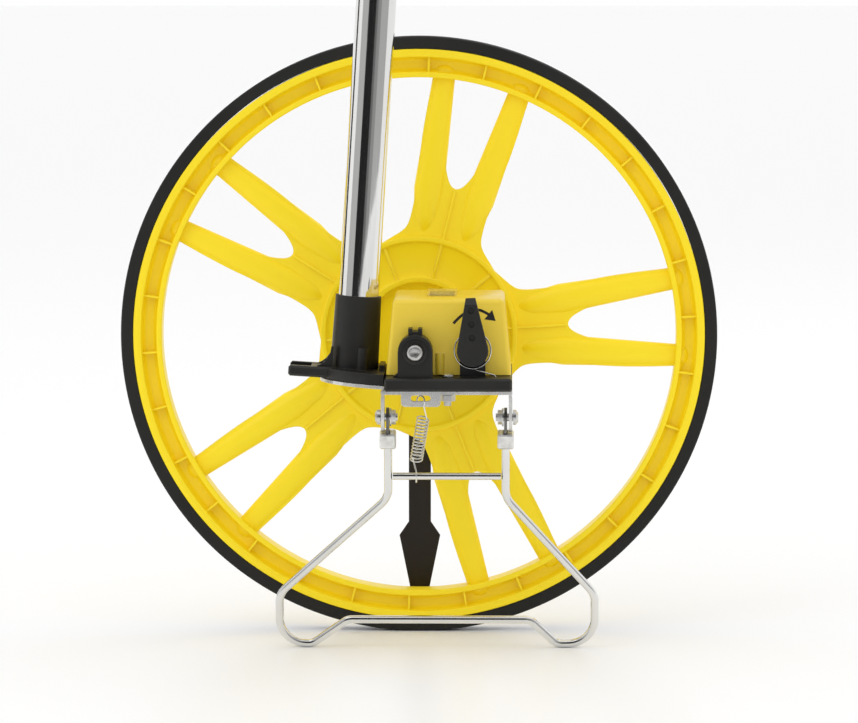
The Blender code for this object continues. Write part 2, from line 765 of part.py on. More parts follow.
def spoke_bar(group, side):
    """The rounded rib that stiffens one spoke, ending in the rim's channel."""
    start = in_group(SPOKE_BAR_START_SHARES[0] * RIM_INNER_RADIUS,
                     side * SPOKE_BAR_START_SHARES[1] * RIM_INNER_RADIUS, group)
    end = in_group(SPOKE_BAR_END_SHARES[0] * RIM_INNER_RADIUS,
                   side * SPOKE_BAR_END_SHARES[1] * RIM_INNER_RADIUS, group)
    length = hypot(end[0] - start[0], end[1] - start[1])
    half = SPOKE_BAR_WIDTH / 2
    profile = [(0, length), (half, length - half), (half, half), (half * sin(pi / 4), half * (1 - sin(pi / 4))), (0, 0)]
    bar = turned(f"spoke_bar_{group}_{side}", profile, (0, 0, 0), SPOKE_BAR_STEPS, rotation=LYING)
    bar.data.transform(Matrix.Diagonal((1, SPOKE_BAR_DEPTH / SPOKE_BAR_WIDTH, 1, 1)))
    heading = atan2(end[1] - start[1], end[0] - start[0])
    bar.rotation_euler = (0, pi / 2 - heading, 0)
    bar.location = at(start[0], 0, start[1])
    return bar


def radial_block(name, inner, outer, thickness, width, angle):
    """A thin rib that runs outwards on the wheel."""
    rib = box(name, (inner, -width / 2, -thickness / 2), (outer, width / 2, thickness / 2))
    return turned_about(rib, at(0, 0, 0), angle)


def turned_about(solid, centre, angle):
    """Turn a solid anticlockwise, as the viewer sees it, about a centre."""
    solid.location = centre + Matrix.Rotation(-angle, 3, "Y") @ (solid.location - centre)
    solid.rotation_euler = (0, -angle, 0)
    return solid


def build_wheel():
    """The moulded wheel: channelled rim, five pairs of spokes and a ribbed hub."""
    lip = RIM_RADIUS - RIM_OUTER_LIP
    inner_lip = RIM_INNER_RADIUS + RIM_INNER_LIP
    half = RIM_WIDTH / 2
    inner_half = RIM_INNER_WIDTH / 2
    web = RIM_WEB / 2
    rim_profile = [(RIM_RADIUS, half), (RIM_RADIUS, -half), (lip, -half), (lip, -web), (inner_lip, -web),
                   (inner_lip, -inner_half), (RIM_INNER_RADIUS, -inner_half), (RIM_INNER_RADIUS, inner_half),
                   (inner_lip, inner_half), (inner_lip, web), (lip, web), (lip, half)]
    wheel = turned("wheel", rim_profile, at(0, 0, 0), RIM_STEPS, PARTS, YELLOW, True)
    spider = flat("spider", spider_outlines(), SPOKE_PLATE, at(0, 0, 0))
    bars = [spoke_bar(group, side) for group in range(SPOKE_GROUPS) for side in (-1, 1)]
    ring_inner = HUB_RING_RADIUS - HUB_RING_WALL
    recess_inner = RECESS_RING_RADIUS - RECESS_RING_WALL
    bore = AXLE_RADIUS + SEAT_GAP
    outward = [(HUB_RING_RADIUS, HUB_RING_WIDTH / 2), (ring_inner, HUB_RING_WIDTH / 2), (ring_inner, HUB_PLATE / 2),
               (RECESS_RING_RADIUS, HUB_PLATE / 2), (RECESS_RING_RADIUS, RECESS_RING_WIDTH / 2),
               (recess_inner, RECESS_RING_WIDTH / 2), (recess_inner, RECESS_PLATE / 2),
               (BOSS_RADIUS, RECESS_PLATE / 2), (BOSS_RADIUS, BOSS_END), (bore, BOSS_END)]
    hub_profile = [outward[0]] + [(r, -h) for r, h in outward] + list(reversed(outward[1:]))
    hub = turned("hub", hub_profile, at(0, 0, 0), HUB_STEPS, closed=True)
    step = 2 * pi / RIM_RIB_COUNT
    mid_lip = (lip + RIM_RADIUS) / 2
    mid_inner = (inner_lip + RIM_INNER_RADIUS) / 2
    rim_ribs = [radial_block(f"rim_rib_{i}", mid_inner, mid_lip, RIM_RIB_THICKNESS, RIM_RIB_WIDTH,
                             SPOKE_PHASE + i * step) for i in range(RIM_RIB_COUNT)]
    hub_ribs = []
    for i in range(2 * SPOKE_GROUPS):
        reach = LONG_RIB_SHARE * RIM_INNER_RADIUS if i % 2 == 0 else ring_inner + HUB_RING_WALL / 2
        hub_ribs.append(radial_block(f"hub_rib_{i}", RECESS_RING_RADIUS - RECESS_RING_WALL / 2, reach,
                                     HUB_RIB_THICKNESS, HUB_RIB_WIDTH, SPOKE_PHASE + i * pi / SPOKE_GROUPS))
    join(wheel, spider, hub)
    join(wheel, *bars)
    join(wheel, *rim_ribs, *hub_ribs)
    return round_shading(wheel)


def build_tyre():
    """The rubber band round the rim."""
    half = TYRE_WIDTH / 2
    inner = RIM_RADIUS + SEAT_GAP
    profile = [(TYRE_RADIUS, half - TYRE_EDGE), (TYRE_RADIUS, -half + TYRE_EDGE), (TYRE_RADIUS - TYRE_EDGE, -half),
               (inner, -half), (inner, half), (TYRE_RADIUS - TYRE_EDGE, half)]
    return round_shading(turned("tyre", profile, at(0, 0, 0), RIM_STEPS, PARTS, RUBBER, True))


def build_axle():
    """The steel axle that turns with the wheel, its nuts, washers and front screw."""
    collar_back = BOSS_END + SEAT_GAP
    collar_front = collar_back + AXLE_COLLAR_LENGTH
    tap = END_SCREW_RADIUS + SEAT_GAP
    tap_bottom = AXLE_FRONT_DEPTH - END_SCREW_LENGTH - OVERRUN
    profile = [(0, tap_bottom), (tap, tap_bottom), (tap, AXLE_FRONT_DEPTH), (AXLE_RADIUS, AXLE_FRONT_DEPTH),
               (AXLE_RADIUS, collar_front), (AXLE_COLLAR_RADIUS, collar_front), (AXLE_COLLAR_RADIUS, collar_back),
               (AXLE_RADIUS, collar_back), (AXLE_RADIUS, AXLE_BACK_DEPTH), (0, AXLE_BACK_DEPTH)]
    axle = turned("axle", profile, at(0, 0, 0), AXLE_SIDES, PARTS, ZINC)
    head_top = END_SCREW_FACE
    head_bottom = AXLE_FRONT_DEPTH + SEAT_GAP
    rounding = END_SCREW_HEAD_ROUNDING
    screw_profile = [(0, head_top), (END_SCREW_HEAD_RADIUS - rounding, head_top),
                     (END_SCREW_HEAD_RADIUS, head_top - rounding), (END_SCREW_HEAD_RADIUS, head_bottom),
                     (END_SCREW_RADIUS, head_bottom), (END_SCREW_RADIUS, head_bottom - END_SCREW_LENGTH),
                     (0, head_bottom - END_SCREW_LENGTH)]
    screw = turned("axle_end_screw", screw_profile, at(0, 0, 0), 20, PARTS, STEEL)
    socket_depth = END_SCREW_SOCKET_DEPTH + OVERRUN
    socket = flat("end_screw_socket", [hexagon(END_SCREW_SOCKET_FLATS)], socket_depth,
                  at(0, head_top + OVERRUN - socket_depth / 2, 0))
    carve(screw, socket)
    bore = AXLE_RADIUS + SEAT_GAP
    nut_outlines = [hexagon(AXLE_NUT_FLATS), circle(bore, DRUM_STEPS)]
    wheel_nut = flat("wheel_nut", nut_outlines, AXLE_NUT_HEIGHT,
                     at(0, WHEEL_NUT_DEPTH - AXLE_NUT_HEIGHT / 2, 0), PARTS, ZINC)
    end_nut = flat("pointer_nut", nut_outlines, AXLE_NUT_HEIGHT,
                   at(0, POINTER_NUT_DEPTH - AXLE_NUT_HEIGHT / 2, 0), PARTS, ZINC)
    overlap = AXLE_WASHER_THICKNESS / 2
    nut_flange = ring("wheel_nut_flange", bore, AXLE_WASHER_RADIUS, POINTER_WASHER_DEPTH - AXLE_WASHER_THICKNESS,
                      POINTER_WASHER_DEPTH + overlap, at(0, 0, 0), DRUM_STEPS)
    join(wheel_nut, nut_flange)
    washer = ring("pointer_washer", bore, AXLE_WASHER_RADIUS, POINTER_OUTER_WASHER_DEPTH - AXLE_WASHER_THICKNESS,
                  POINTER_OUTER_WASHER_DEPTH, at(0, 0, 0), DRUM_STEPS, PARTS, ZINC)
    for made in (axle, screw, washer):
        round_shading(made)
    return [axle, screw, wheel_nut, end_nut, washer]


def gear_outline(teeth, module, phase, root_share=GEAR_ROOT_SHARE, tip_share=GEAR_TIP_SHARE):
    """Straight-sided teeth, a little thin and short so that a pair runs free."""
    pitch = teeth * module / 2
    root = pitch - root_share * module
    tip = pitch + tip_share * module
    step = 2 * pi / teeth
    root_half = TOOTH_ROOT_SHARE * step
    tip_half = TOOTH_TIP_SHARE * step
    points = []
    for i in range(teeth):
        middle = phase + i * step
        points += [(root * cos(middle - root_half), root * sin(middle - root_half)),
                   (tip * cos(middle - tip_half), tip * sin(middle - tip_half)),
                   (tip * cos(middle + tip_half), tip * sin(middle + tip_half)),
                   (root * cos(middle + root_half), root * sin(middle + root_half))]
    return points


def build_drive_gear():
    """The gear on the axle that drives the counter."""
    toward_drum = atan2(DRUM_HEIGHT, DRUM_X)
    outline = gear_outline(GEAR_TEETH, GEAR_MODULE, toward_drum)
    bore = circle(AXLE_RADIUS + SEAT_GAP, SHAFT_STEPS)
    return flat("drive_gear", [outline, bore], GEAR_WIDTH, at(0, GEAR_BACK_DEPTH + GEAR_WIDTH / 2, 0), PARTS, WHITE)


def build_pointer():
    """The flat start pointer, cut from sheet, with an eye round the axle."""
    neck = asin(POINTER_WIDTH / 2 / POINTER_EYE_RADIUS)
    eye = arc((0, 0), POINTER_EYE_RADIUS, -pi / 2 + neck, 3 * pi / 2 - neck, 16)
    half = POINTER_WIDTH / 2
    wide = POINTER_SHOULDER_WIDTH / 2
    tip = POINTER_TIP_WIDTH / 2
    left = [(-half, -POINTER_SHOULDER_HEIGHT), (-wide, -POINTER_WIDEST_HEIGHT), (-tip, -POINTER_LENGTH)]
    right = [(-x, z) for x, z in reversed(left)]
    hole = circle(AXLE_RADIUS + RUN_GAP, AXLE_SIDES)
    return flat("pointer", [eye + left + right, hole], POINTER_THICKNESS,
                at(0, POINTER_DEPTH - POINTER_THICKNESS / 2, 0), PARTS, PAINT)


# Counter

def build_base():
    """The black base: a plate with the two axle uprights and the lever's post."""
    left = COUNTER_X - BASE_WIDTH / 2
    right = COUNTER_X + BASE_WIDTH / 2
    base = box("counter_base", (left, BASE_BACK_DEPTH, BASE_BOTTOM), (right, BASE_FRONT_DEPTH, BASE_TOP), PARTS, BLACK)
    soften(base, BASE_EDGE)
    root = BASE_TOP - BASE_THICKNESS / 2
    upright = [(-ARCH_RADIUS, root), (ARCH_RADIUS, root)] + arc((0, 0), ARCH_RADIUS, 0, pi, 12)
    arch_thickness = ARCH_FRONT_DEPTH - ARCH_BACK_DEPTH
    arch = flat("front_arch", [upright], arch_thickness, at(0, ARCH_FRONT_DEPTH - arch_thickness / 2, 0))
    rear = flat("rear_arch", [upright], REAR_ARCH_THICKNESS,
                at(0, REAR_ARCH_BACK_DEPTH + REAR_ARCH_THICKNESS / 2, 0))
    tab_top = ARCH_RADIUS + ARCH_TAB_HEIGHT
    tab = box("arch_tab", (-ARCH_TAB_WIDTH / 2, ARCH_BACK_DEPTH, ARCH_RADIUS / 2),
              (ARCH_TAB_WIDTH / 2, ARCH_FRONT_DEPTH - ARCH_TAB_GROOVE, tab_top))
    shoe = [(-ARCH_RADIUS - ARCH_SHOE_REACH, root), (-ARCH_RADIUS + ARCH_SHOE_REACH, root),
            (-ARCH_RADIUS + ARCH_SHOE_REACH, BASE_TOP + ARCH_SHOE_HEIGHT), (-ARCH_RADIUS, BASE_TOP + ARCH_SHOE_HEIGHT),
            (-ARCH_RADIUS - ARCH_SHOE_REACH, BASE_TOP)]
    wedge = flat("arch_shoe", [shoe], arch_thickness / 2, at(0, ARCH_FRONT_DEPTH - arch_thickness / 2, 0))
    post_half = LEVER_POST_WIDTH / 2
    post_outline = [(-post_half, root - LEVER_HEIGHT), (post_half, root - LEVER_HEIGHT)]
    post_outline += arc((0, 0), post_half, 0, pi, 12)
    post_thickness = LEVER_POST_FRONT_DEPTH - LEVER_POST_BACK_DEPTH
    post = flat("lever_post", [post_outline], post_thickness,
                at(LEVER_X, LEVER_POST_FRONT_DEPTH - post_thickness / 2, LEVER_HEIGHT))
    join(base, arch, rear, tab, wedge, post)
    bush_bore = BUSH_RADIUS + SEAT_GAP
    cuts = [rod("front_bush_bore", bush_bore, ARCH_BACK_DEPTH - OVERRUN, ARCH_FRONT_DEPTH + OVERRUN, at(0, 0, 0),
                DRUM_STEPS),
            rod("rear_bush_bore", bush_bore, REAR_ARCH_BACK_DEPTH - OVERRUN,
                REAR_ARCH_BACK_DEPTH + REAR_ARCH_THICKNESS + OVERRUN, at(0, 0, 0), DRUM_STEPS),
            rod("reset_bore", RESET_SHAFT_RADIUS + RUN_GAP, LEVER_POST_BACK_DEPTH - OVERRUN,
                LEVER_POST_FRONT_DEPTH + OVERRUN, at(LEVER_X, 0, LEVER_HEIGHT), SHAFT_STEPS),
            box("tab_groove", (-ARCH_TAB_GROOVE / 2, ARCH_BACK_DEPTH - OVERRUN, tab_top - ARCH_TAB_GROOVE / 2),
                (ARCH_TAB_GROOVE / 2, ARCH_FRONT_DEPTH + OVERRUN, tab_top + OVERRUN)),
            box("plate_pocket", (left - OVERRUN, HANDLE_DEPTH - PLATE_END_RADIUS - SEAT_GAP, BASE_BOTTOM - OVERRUN),
                (PLATE_RIGHT_X + SEAT_GAP, HANDLE_DEPTH + PLATE_END_RADIUS + SEAT_GAP, PLATE_TOP + SEAT_GAP)),
            rod("torsion_leg_hole", TORSION_WIRE / 2 + SEAT_GAP, -BASE_THICKNESS / 2, OVERRUN,
                at(TORSION_LEG_X, TORSION_LEG_DEPTH, BASE_TOP), SCREW_STEPS, rotation=LYING)]
    cuts += [rod(f"base_hole_{i}", BASE_SCREW_RADIUS + SEAT_GAP, -BASE_THICKNESS - OVERRUN, OVERRUN,
                 at(x, depth, BASE_TOP), SCREW_STEPS, rotation=LYING)
             for i, (x, depth) in enumerate(base_screw_places())]
    cuts += [rod(f"plate_pilot_{i}", BASE_SCREW_RADIUS + SEAT_GAP, -BASE_THICKNESS - OVERRUN, -PILOT_ROOF,
                 at(x, depth, BASE_TOP), SCREW_STEPS, rotation=LYING)
             for i, (x, depth) in enumerate(plate_screw_places())]
    carve(base, *cuts)
    return round_shading(base)


def base_screw_places():
    """Where the screws go down through the base and bracket."""
    return [BASE_SCREW_FRONT, BASE_SCREW_REAR]


def plate_screw_places():
    """Where the screws come up through bracket and handle plate into the base."""
    return [(PLATE_SCREW_X, PLATE_SCREW_DEPTH + side * PLATE_SCREW_SPACING / 2) for side in (-1, 1)]


def build_bushes():
    """The two flanged bushes that carry the axle."""
    bore = AXLE_RADIUS + RUN_GAP
    flange_back = ARCH_FRONT_DEPTH + SEAT_GAP
    front_profile = [(BUSH_FLANGE_RADIUS, FRONT_BUSH_FACE), (BUSH_FLANGE_RADIUS, flange_back),
                     (BUSH_RADIUS, flange_back), (BUSH_RADIUS, ARCH_BACK_DEPTH), (bore, ARCH_BACK_DEPTH),
                     (bore, FRONT_BUSH_FACE)]
    front = turned("front_bush", front_profile, at(0, 0, 0), AXLE_SIDES, PARTS, BLACK, True)
    back = REAR_ARCH_BACK_DEPTH - SEAT_GAP
    end = REAR_ARCH_BACK_DEPTH + REAR_ARCH_THICKNESS
    rear_profile = [(BUSH_RADIUS, end), (BUSH_RADIUS, back), (BUSH_FLANGE_RADIUS, back),
                    (BUSH_FLANGE_RADIUS, back - BUSH_FLANGE_THICKNESS), (bore, back - BUSH_FLANGE_THICKNESS),
                    (bore, end)]
    rear = turned("rear_bush", rear_profile, at(0, 0, 0), AXLE_SIDES, PARTS, BLACK, True)
    return [round_shading(front), round_shading(rear)]


def build_housing():
    """The tapered yellow cover, open underneath, with a window in its top."""
    half = HOUSING_WIDTH / 2
    top_half = HOUSING_TOP_WIDTH / 2
    low = at(COUNTER_X, HOUSING_FRONT_DEPTH, HOUSING_BOTTOM)
    mesh = bpy.data.meshes.new("counter_housing")
    work = bmesh.new()
    bmesh.ops.create_cube(work, size=2)
    depth = HOUSING_FRONT_DEPTH - HOUSING_BACK_DEPTH
    height = HOUSING_TOP - HOUSING_BOTTOM
    for vertex in work.verts:
        upper = vertex.co.z > 0
        side = vertex.co.x
        front = vertex.co.y < 0
        set_back = HOUSING_TOP_SET_BACK if upper else 0
        vertex.co = (side * (top_half if upper else half), set_back if front else depth, height if upper else 0)
    bottom = [face for face in work.faces if face.calc_center_median().z < height / 4]
    bmesh.ops.delete(work, geom=bottom, context="FACES_ONLY")
    sharp = [edge for edge in work.edges if len(edge.link_faces) == 2]
    bmesh.ops.bevel(work, geom=sharp, offset=HOUSING_EDGE, segments=3, profile=0.5, affect="EDGES")
    work.to_mesh(mesh)
    work.free()
    housing = add_object("counter_housing", mesh, PARTS, COVER_YELLOW)
    housing.location = low
    shell = housing.modifiers.new("wall", "SOLIDIFY")
    shell.thickness = HOUSING_WALL
    shell.offset = -1
    shell.use_even_offset = True
    boss_height = FACE_BOSS_TOP - HOUSING_BOTTOM
    boss = rod("face_boss", FACE_BOSS_RADIUS, SEAT_GAP, boss_height,
               at(FACE_BOSS_X, HOUSING_FRONT_DEPTH - HOUSING_WALL / 2, HOUSING_BOTTOM), SCREW_STEPS, rotation=LYING)
    join(housing, boss)
    slot_half = AXLE_SLOT_WIDTH / 2
    slot_outline = [(-slot_half, HOUSING_BOTTOM - OVERRUN), (slot_half, HOUSING_BOTTOM - OVERRUN)]
    slot_outline += arc((0, 0), slot_half, 0, pi, 10)
    middle = (HOUSING_FRONT_DEPTH + HOUSING_BACK_DEPTH) / 2
    slot = flat("axle_slot", [slot_outline], depth + 2 * OVERRUN, at(0, middle, 0))
    shaft_hole = rod("reset_hole", RESET_SHAFT_RADIUS + RESET_HOLE_SPACE, middle, HOUSING_FRONT_DEPTH + OVERRUN,
                     at(LEVER_X, 0, LEVER_HEIGHT), DRUM_STEPS)
    opening = window_block("window_opening", WINDOW_RIM - SEAT_GAP, HOUSING_TOP - HOUSING_WALL - OVERRUN,
                           HOUSING_TOP + OVERRUN)
    carve(housing, slot, shaft_hole, opening)
    return round_shading(housing)


def window_block(name, inset, low, high):
    """A block on the window's outline, drawn in by an inset."""
    half = WINDOW_WIDTH / 2 - inset
    far = WINDOW_NEAR_DEPTH - WINDOW_LENGTH
    return box(name, (WINDOW_X - half, far + inset, low), (WINDOW_X + half, WINDOW_NEAR_DEPTH - inset, high))


def build_window():
    """The clear lens, a flange on the cover with a plug in its opening."""
    half = WINDOW_WIDTH / 2
    far = WINDOW_NEAR_DEPTH - WINDOW_LENGTH
    seat = HOUSING_TOP + SEAT_GAP
    window = box("counter_window", (WINDOW_X - half, far, seat),
                 (WINDOW_X + half, WINDOW_NEAR_DEPTH, seat + WINDOW_FLANGE), PARTS, CLEAR)
    soften(window, WINDOW_FLANGE / 4)
    join(window, window_block("window_plug", WINDOW_RIM, seat - WINDOW_PLUG, seat + WINDOW_FLANGE / 2))
    return window


def build_frame():
    """The folded steel frame that carries the number drums inside the housing."""
    bottom = BASE_TOP + SEAT_GAP
    back = FRAME_BACK_DEPTH
    front = FRAME_FRONT_DEPTH + FRAME_SHEET
    frame = box("counter_frame", (FRAME_LEFT, back, bottom), (FRAME_RIGHT, front, FRAME_TOP), PARTS, ZINC)
    middle = box("frame_middle", (FRAME_LEFT - OVERRUN, back + FRAME_SHEET, bottom + FRAME_SHEET),
                 (FRAME_RIGHT + OVERRUN, FRAME_FRONT_DEPTH, FRAME_TOP + OVERRUN))
    span = (back - OVERRUN, front + OVERRUN)
    drum_hole = rod("frame_drum_hole", DRUM_SHAFT_RADIUS + RUN_GAP, *span, at(DRUM_X, 0, DRUM_HEIGHT), SHAFT_STEPS)
    pinion_hole = rod("frame_pinion_hole", PINION_SHAFT_RADIUS + SEAT_GAP, *span, at(PINION_X, 0, PINION_HEIGHT),
                      SCREW_STEPS)
    reset_hole = rod("frame_reset_hole", RESET_SHAFT_RADIUS + RUN_GAP, *span, at(LEVER_X, 0, LEVER_HEIGHT),
                     SHAFT_STEPS)
    carve(frame, middle, drum_hole, pinion_hole, reset_hole)
    return frame


def build_drums():
    """The five number drums, their shaft and the gear that turns the first."""
    place = at(DRUM_X, 0, DRUM_HEIGHT)
    toward_axle = atan2(DRUM_HEIGHT, DRUM_X) + pi + pi / GEAR_TEETH
    outline = gear_outline(GEAR_TEETH, GEAR_MODULE, toward_axle)
    gear = flat("counter_gear", [outline, circle(DRUM_SHAFT_RADIUS + SEAT_GAP, SCREW_STEPS)], GEAR_WIDTH,
                at(DRUM_X, GEAR_BACK_DEPTH + GEAR_WIDTH / 2, DRUM_HEIGHT), PARTS, WHITE)
    shaft = rod("drum_shaft", DRUM_SHAFT_RADIUS, FRAME_BACK_DEPTH - FRAME_SHEET,
                GEAR_BACK_DEPTH + GEAR_WIDTH + FRAME_SHEET, place, SHAFT_STEPS, PARTS, STEEL)
    drums = []
    for i in range(DRUM_COUNT):
        front = DRUM_FRONT_DEPTH - i * DRUM_PITCH - DRUM_GAP / 2
        back = front - DRUM_PITCH + DRUM_GAP
        gap = SEAT_GAP if i == 0 else RUN_GAP
        drums.append(ring(f"number_drum_{i + 1}", DRUM_SHAFT_RADIUS + gap, DRUM_RADIUS, back, front, place,
                          SHAFT_STEPS if i else DRUM_STEPS, PARTS, WHITE))
    for made in (shaft, *drums):
        round_shading(made)
    return gear, shaft, drums


def build_pinions():
    """The transfer pinions between neighbouring drums, and their fixed shaft."""
    shaft = rod("transfer_shaft", PINION_SHAFT_RADIUS, FRAME_BACK_DEPTH - FRAME_SHEET / 2,
                FRAME_FRONT_DEPTH + 2 * FRAME_SHEET, at(PINION_X, 0, PINION_HEIGHT), SHAFT_STEPS, PARTS, STEEL)
    module = 2 * PINION_RADIUS / (PINION_TEETH + 2)
    pinions = []
    for i in range(DRUM_COUNT - 1):
        middle = DRUM_FRONT_DEPTH - (i + 1) * DRUM_PITCH
        outline = gear_outline(PINION_TEETH, module, 0, PINION_TOOTH_SHARE, PINION_TOOTH_SHARE)
        hole = circle(PINION_SHAFT_RADIUS + RUN_GAP, SHAFT_STEPS)
        pinions.append(flat(f"transfer_pinion_{i + 1}", [outline, hole], PINION_WIDTH,
                            at(PINION_X, middle, PINION_HEIGHT), PARTS, WHITE))
    return round_shading(shaft), pinions


# Reset lever

def build_lever():
    """The tapered lever with a round end, a bevelled tip and three dimples."""
    tip_half = LEVER_TIP_WIDTH / 2
    side = asin((LEVER_EYE_RADIUS - tip_half) / hypot(LEVER_REACH, LEVER_EYE_RADIUS - tip_half))
    outline = arc((0, 0), LEVER_EYE_RADIUS, pi - side, 2 * pi + side, 14)
    outline += [(tip_half, LEVER_REACH), (-tip_half, LEVER_REACH)]
    middle = LEVER_BACK_DEPTH + LEVER_THICKNESS / 2
    lever = flat("reset_lever", [outline], LEVER_THICKNESS, at(LEVER_X, middle, LEVER_HEIGHT), PARTS, BLACK)
    lean = Matrix.Rotation(LEVER_LEAN, 4, "Z")
    lever.data.transform(lean)
    soften(lever, LEVER_EDGE)
    place = at(LEVER_X, 0, LEVER_HEIGHT)
    join(lever, rod("lever_hub", LEVER_HUB_RADIUS, LEVER_HUB_BACK_DEPTH, middle, place, DRUM_STEPS))
    face = LEVER_BACK_DEPTH + LEVER_THICKNESS
    cuts = [rod("lever_bore", RESET_SHAFT_RADIUS + SEAT_GAP, LEVER_HUB_BACK_DEPTH - OVERRUN, middle, place, DRUM_STEPS)]
    for i in range(LEVER_DIMPLES):
        reach = LEVER_DIMPLE_FIRST + i * LEVER_DIMPLE_PITCH
        dimple = place + Vector((-reach * sin(LEVER_LEAN), 0, reach * cos(LEVER_LEAN)))
        cuts.append(rod(f"lever_dimple_{i}", LEVER_DIMPLE_RADIUS, face - LEVER_DIMPLE_DEPTH, face + OVERRUN, dimple,
                        SCREW_STEPS))
    slope = LEVER_TIP_CHAMFER + 3 * OVERRUN / 2
    wedge = flat("lever_tip_cut", [[(0, -slope), (slope, 0), (0, slope)]], 2 * LEVER_TIP_WIDTH,
                 at(LEVER_X - LEVER_REACH * sin(LEVER_LEAN), face, LEVER_HEIGHT + LEVER_REACH + OVERRUN),
                 rotation=SIDEWAYS)
    wedge.location.y -= OVERRUN / 2
    carve(lever, *cuts, wedge)
    return lever


def build_reset():
    """The reset shaft on the lever and its comb of fingers beside the drums."""
    place = at(LEVER_X, 0, LEVER_HEIGHT)
    shaft = rod("reset_shaft", RESET_SHAFT_RADIUS, RESET_SHAFT_BACK_DEPTH,
                LEVER_BACK_DEPTH + LEVER_THICKNESS / 2 - SEAT_GAP, place, SHAFT_STEPS, PARTS, STEEL)
    comb_back = DRUM_BACK_DEPTH
    comb = ring("reset_comb", RESET_SHAFT_RADIUS + SEAT_GAP, RESET_HUB_RADIUS, comb_back, DRUM_FRONT_DEPTH, place,
                DRUM_STEPS, PARTS, WHITE)
    fingers = []
    for i in range(DRUM_COUNT):
        middle = DRUM_BACK_DEPTH + (i + 1 / 2) * DRUM_PITCH
        half = RESET_FINGER_THICKNESS / 2
        finger = box(f"reset_finger_{i}",
                     (LEVER_X + RESET_HUB_RADIUS - half, middle - RESET_FINGER_WIDTH / 2, LEVER_HEIGHT - half),
                     (LEVER_X + RESET_FINGER_LENGTH, middle + RESET_FINGER_WIDTH / 2, LEVER_HEIGHT + half))
        fingers.append(turned_about(finger, place, RESET_FINGER_REST))
    join(comb, *fingers)
    return [round_shading(shaft), comb]


def build_torsion_spring():
    """The spring behind the lever, wound round its post, with one leg in the base."""
    centre = at(LEVER_X, TORSION_LEG_DEPTH, LEVER_HEIGHT)
    count = ceil(TORSION_TURNS * TORSION_POINTS)
    coil = []
    for i in range(count + 1):
        angle = TORSION_START - 2 * pi * TORSION_TURNS * i / count
        rise = TORSION_PITCH * TORSION_TURNS * i / count
        coil.append(centre + Vector((TORSION_RADIUS * cos(angle), -rise, TORSION_RADIUS * sin(angle))))
    elbow = at(TORSION_LEG_X, TORSION_LEG_DEPTH, BASE_TOP + TORSION_WIRE)
    foot = at(TORSION_LEG_X, TORSION_LEG_DEPTH, BASE_TOP - 3 * TORSION_WIRE)
    path = [foot, elbow, *coil]
    least_self_gap("torsion_spring", coil, TORSION_WIRE / 2, TORSION_POINTS // 2)
    return round_shading(wire("torsion_spring", path, TORSION_WIRE / 2, 1, PARTS, ZINC))


# Bracket, plate and socket

def build_bracket():
    """The folded steel bracket: plate, two ears for the stand and the spring's slotted tab."""
    left = BRACKET_X - BRACKET_WIDTH / 2
    right = BRACKET_X + BRACKET_WIDTH / 2
    bracket = box("main_bracket", (left, BRACKET_BACK_DEPTH, BRACKET_BOTTOM),
                  (right, BRACKET_FRONT_DEPTH, BRACKET_TOP), PARTS, ZINC)
    ear_middle = (EAR_OUTER + EAR_INNER) / 2
    middle_height = (BRACKET_TOP + BRACKET_BOTTOM) / 2
    ear_outline = [(EAR_EYE_RADIUS, middle_height - PIVOT_HEIGHT), (-EAR_EYE_RADIUS, middle_height - PIVOT_HEIGHT)]
    ear_outline += arc((0, 0), EAR_EYE_RADIUS, pi, 2 * pi, 12)
    ears = [flat(f"ear_{side}", [ear_outline], BRACKET_SHEET,
                 at(BRACKET_X + side * ear_middle, PIVOT_DEPTH, PIVOT_HEIGHT), rotation=SIDEWAYS)
            for side in (-1, 1)]
    tab_half = TAB_WIDTH / 2
    corner = tab_half - TAB_CORNER
    low = TAB_LOW + TAB_CORNER
    tab_outline = [(tab_half, middle_height), (-tab_half, middle_height)]
    tab_outline += arc((-corner, low), TAB_CORNER, pi, 3 * pi / 2, CORNER_PIECES)
    tab_outline += arc((corner, low), TAB_CORNER, 3 * pi / 2, 2 * pi, CORNER_PIECES)
    tab = flat("spring_tab", [tab_outline], BRACKET_SHEET, at(TAB_X, TAB_DEPTH, 0))
    join(bracket, *ears, tab)
    reach = (SLOT_WIDTH - SLOT_HEIGHT) / 2
    slot_middle = SLOT_LOW + SLOT_HEIGHT / 2
    slot_outline = arc((-reach, slot_middle), SLOT_HEIGHT / 2, pi / 2, 3 * pi / 2, 6)
    slot_outline += arc((reach, slot_middle), SLOT_HEIGHT / 2, -pi / 2, pi / 2, 6)
    cuts = [flat("hook_slot", [slot_outline], BRACKET_SHEET + 2 * OVERRUN, at(TAB_X, TAB_DEPTH, 0))]
    cuts.append(rod("ear_holes", PIVOT_SCREW_RADIUS + SEAT_GAP, -EAR_OUTER - OVERRUN, EAR_OUTER + OVERRUN,
                    at(BRACKET_X, PIVOT_DEPTH, PIVOT_HEIGHT), SHAFT_STEPS, rotation=(0, pi / 2, 0)))
    cuts += [rod(f"bracket_hole_{i}", BASE_SCREW_RADIUS + SEAT_GAP, -BRACKET_SHEET - OVERRUN, OVERRUN,
                 at(x, depth, BRACKET_TOP), SCREW_STEPS, rotation=LYING)
             for i, (x, depth) in enumerate(base_screw_places() + plate_screw_places())]
    bend_corner = (left, right)
    carve(bracket, *cuts, *[bend_cut(side, x) for side, x in zip((-1, 1), bend_corner)])
    return bracket


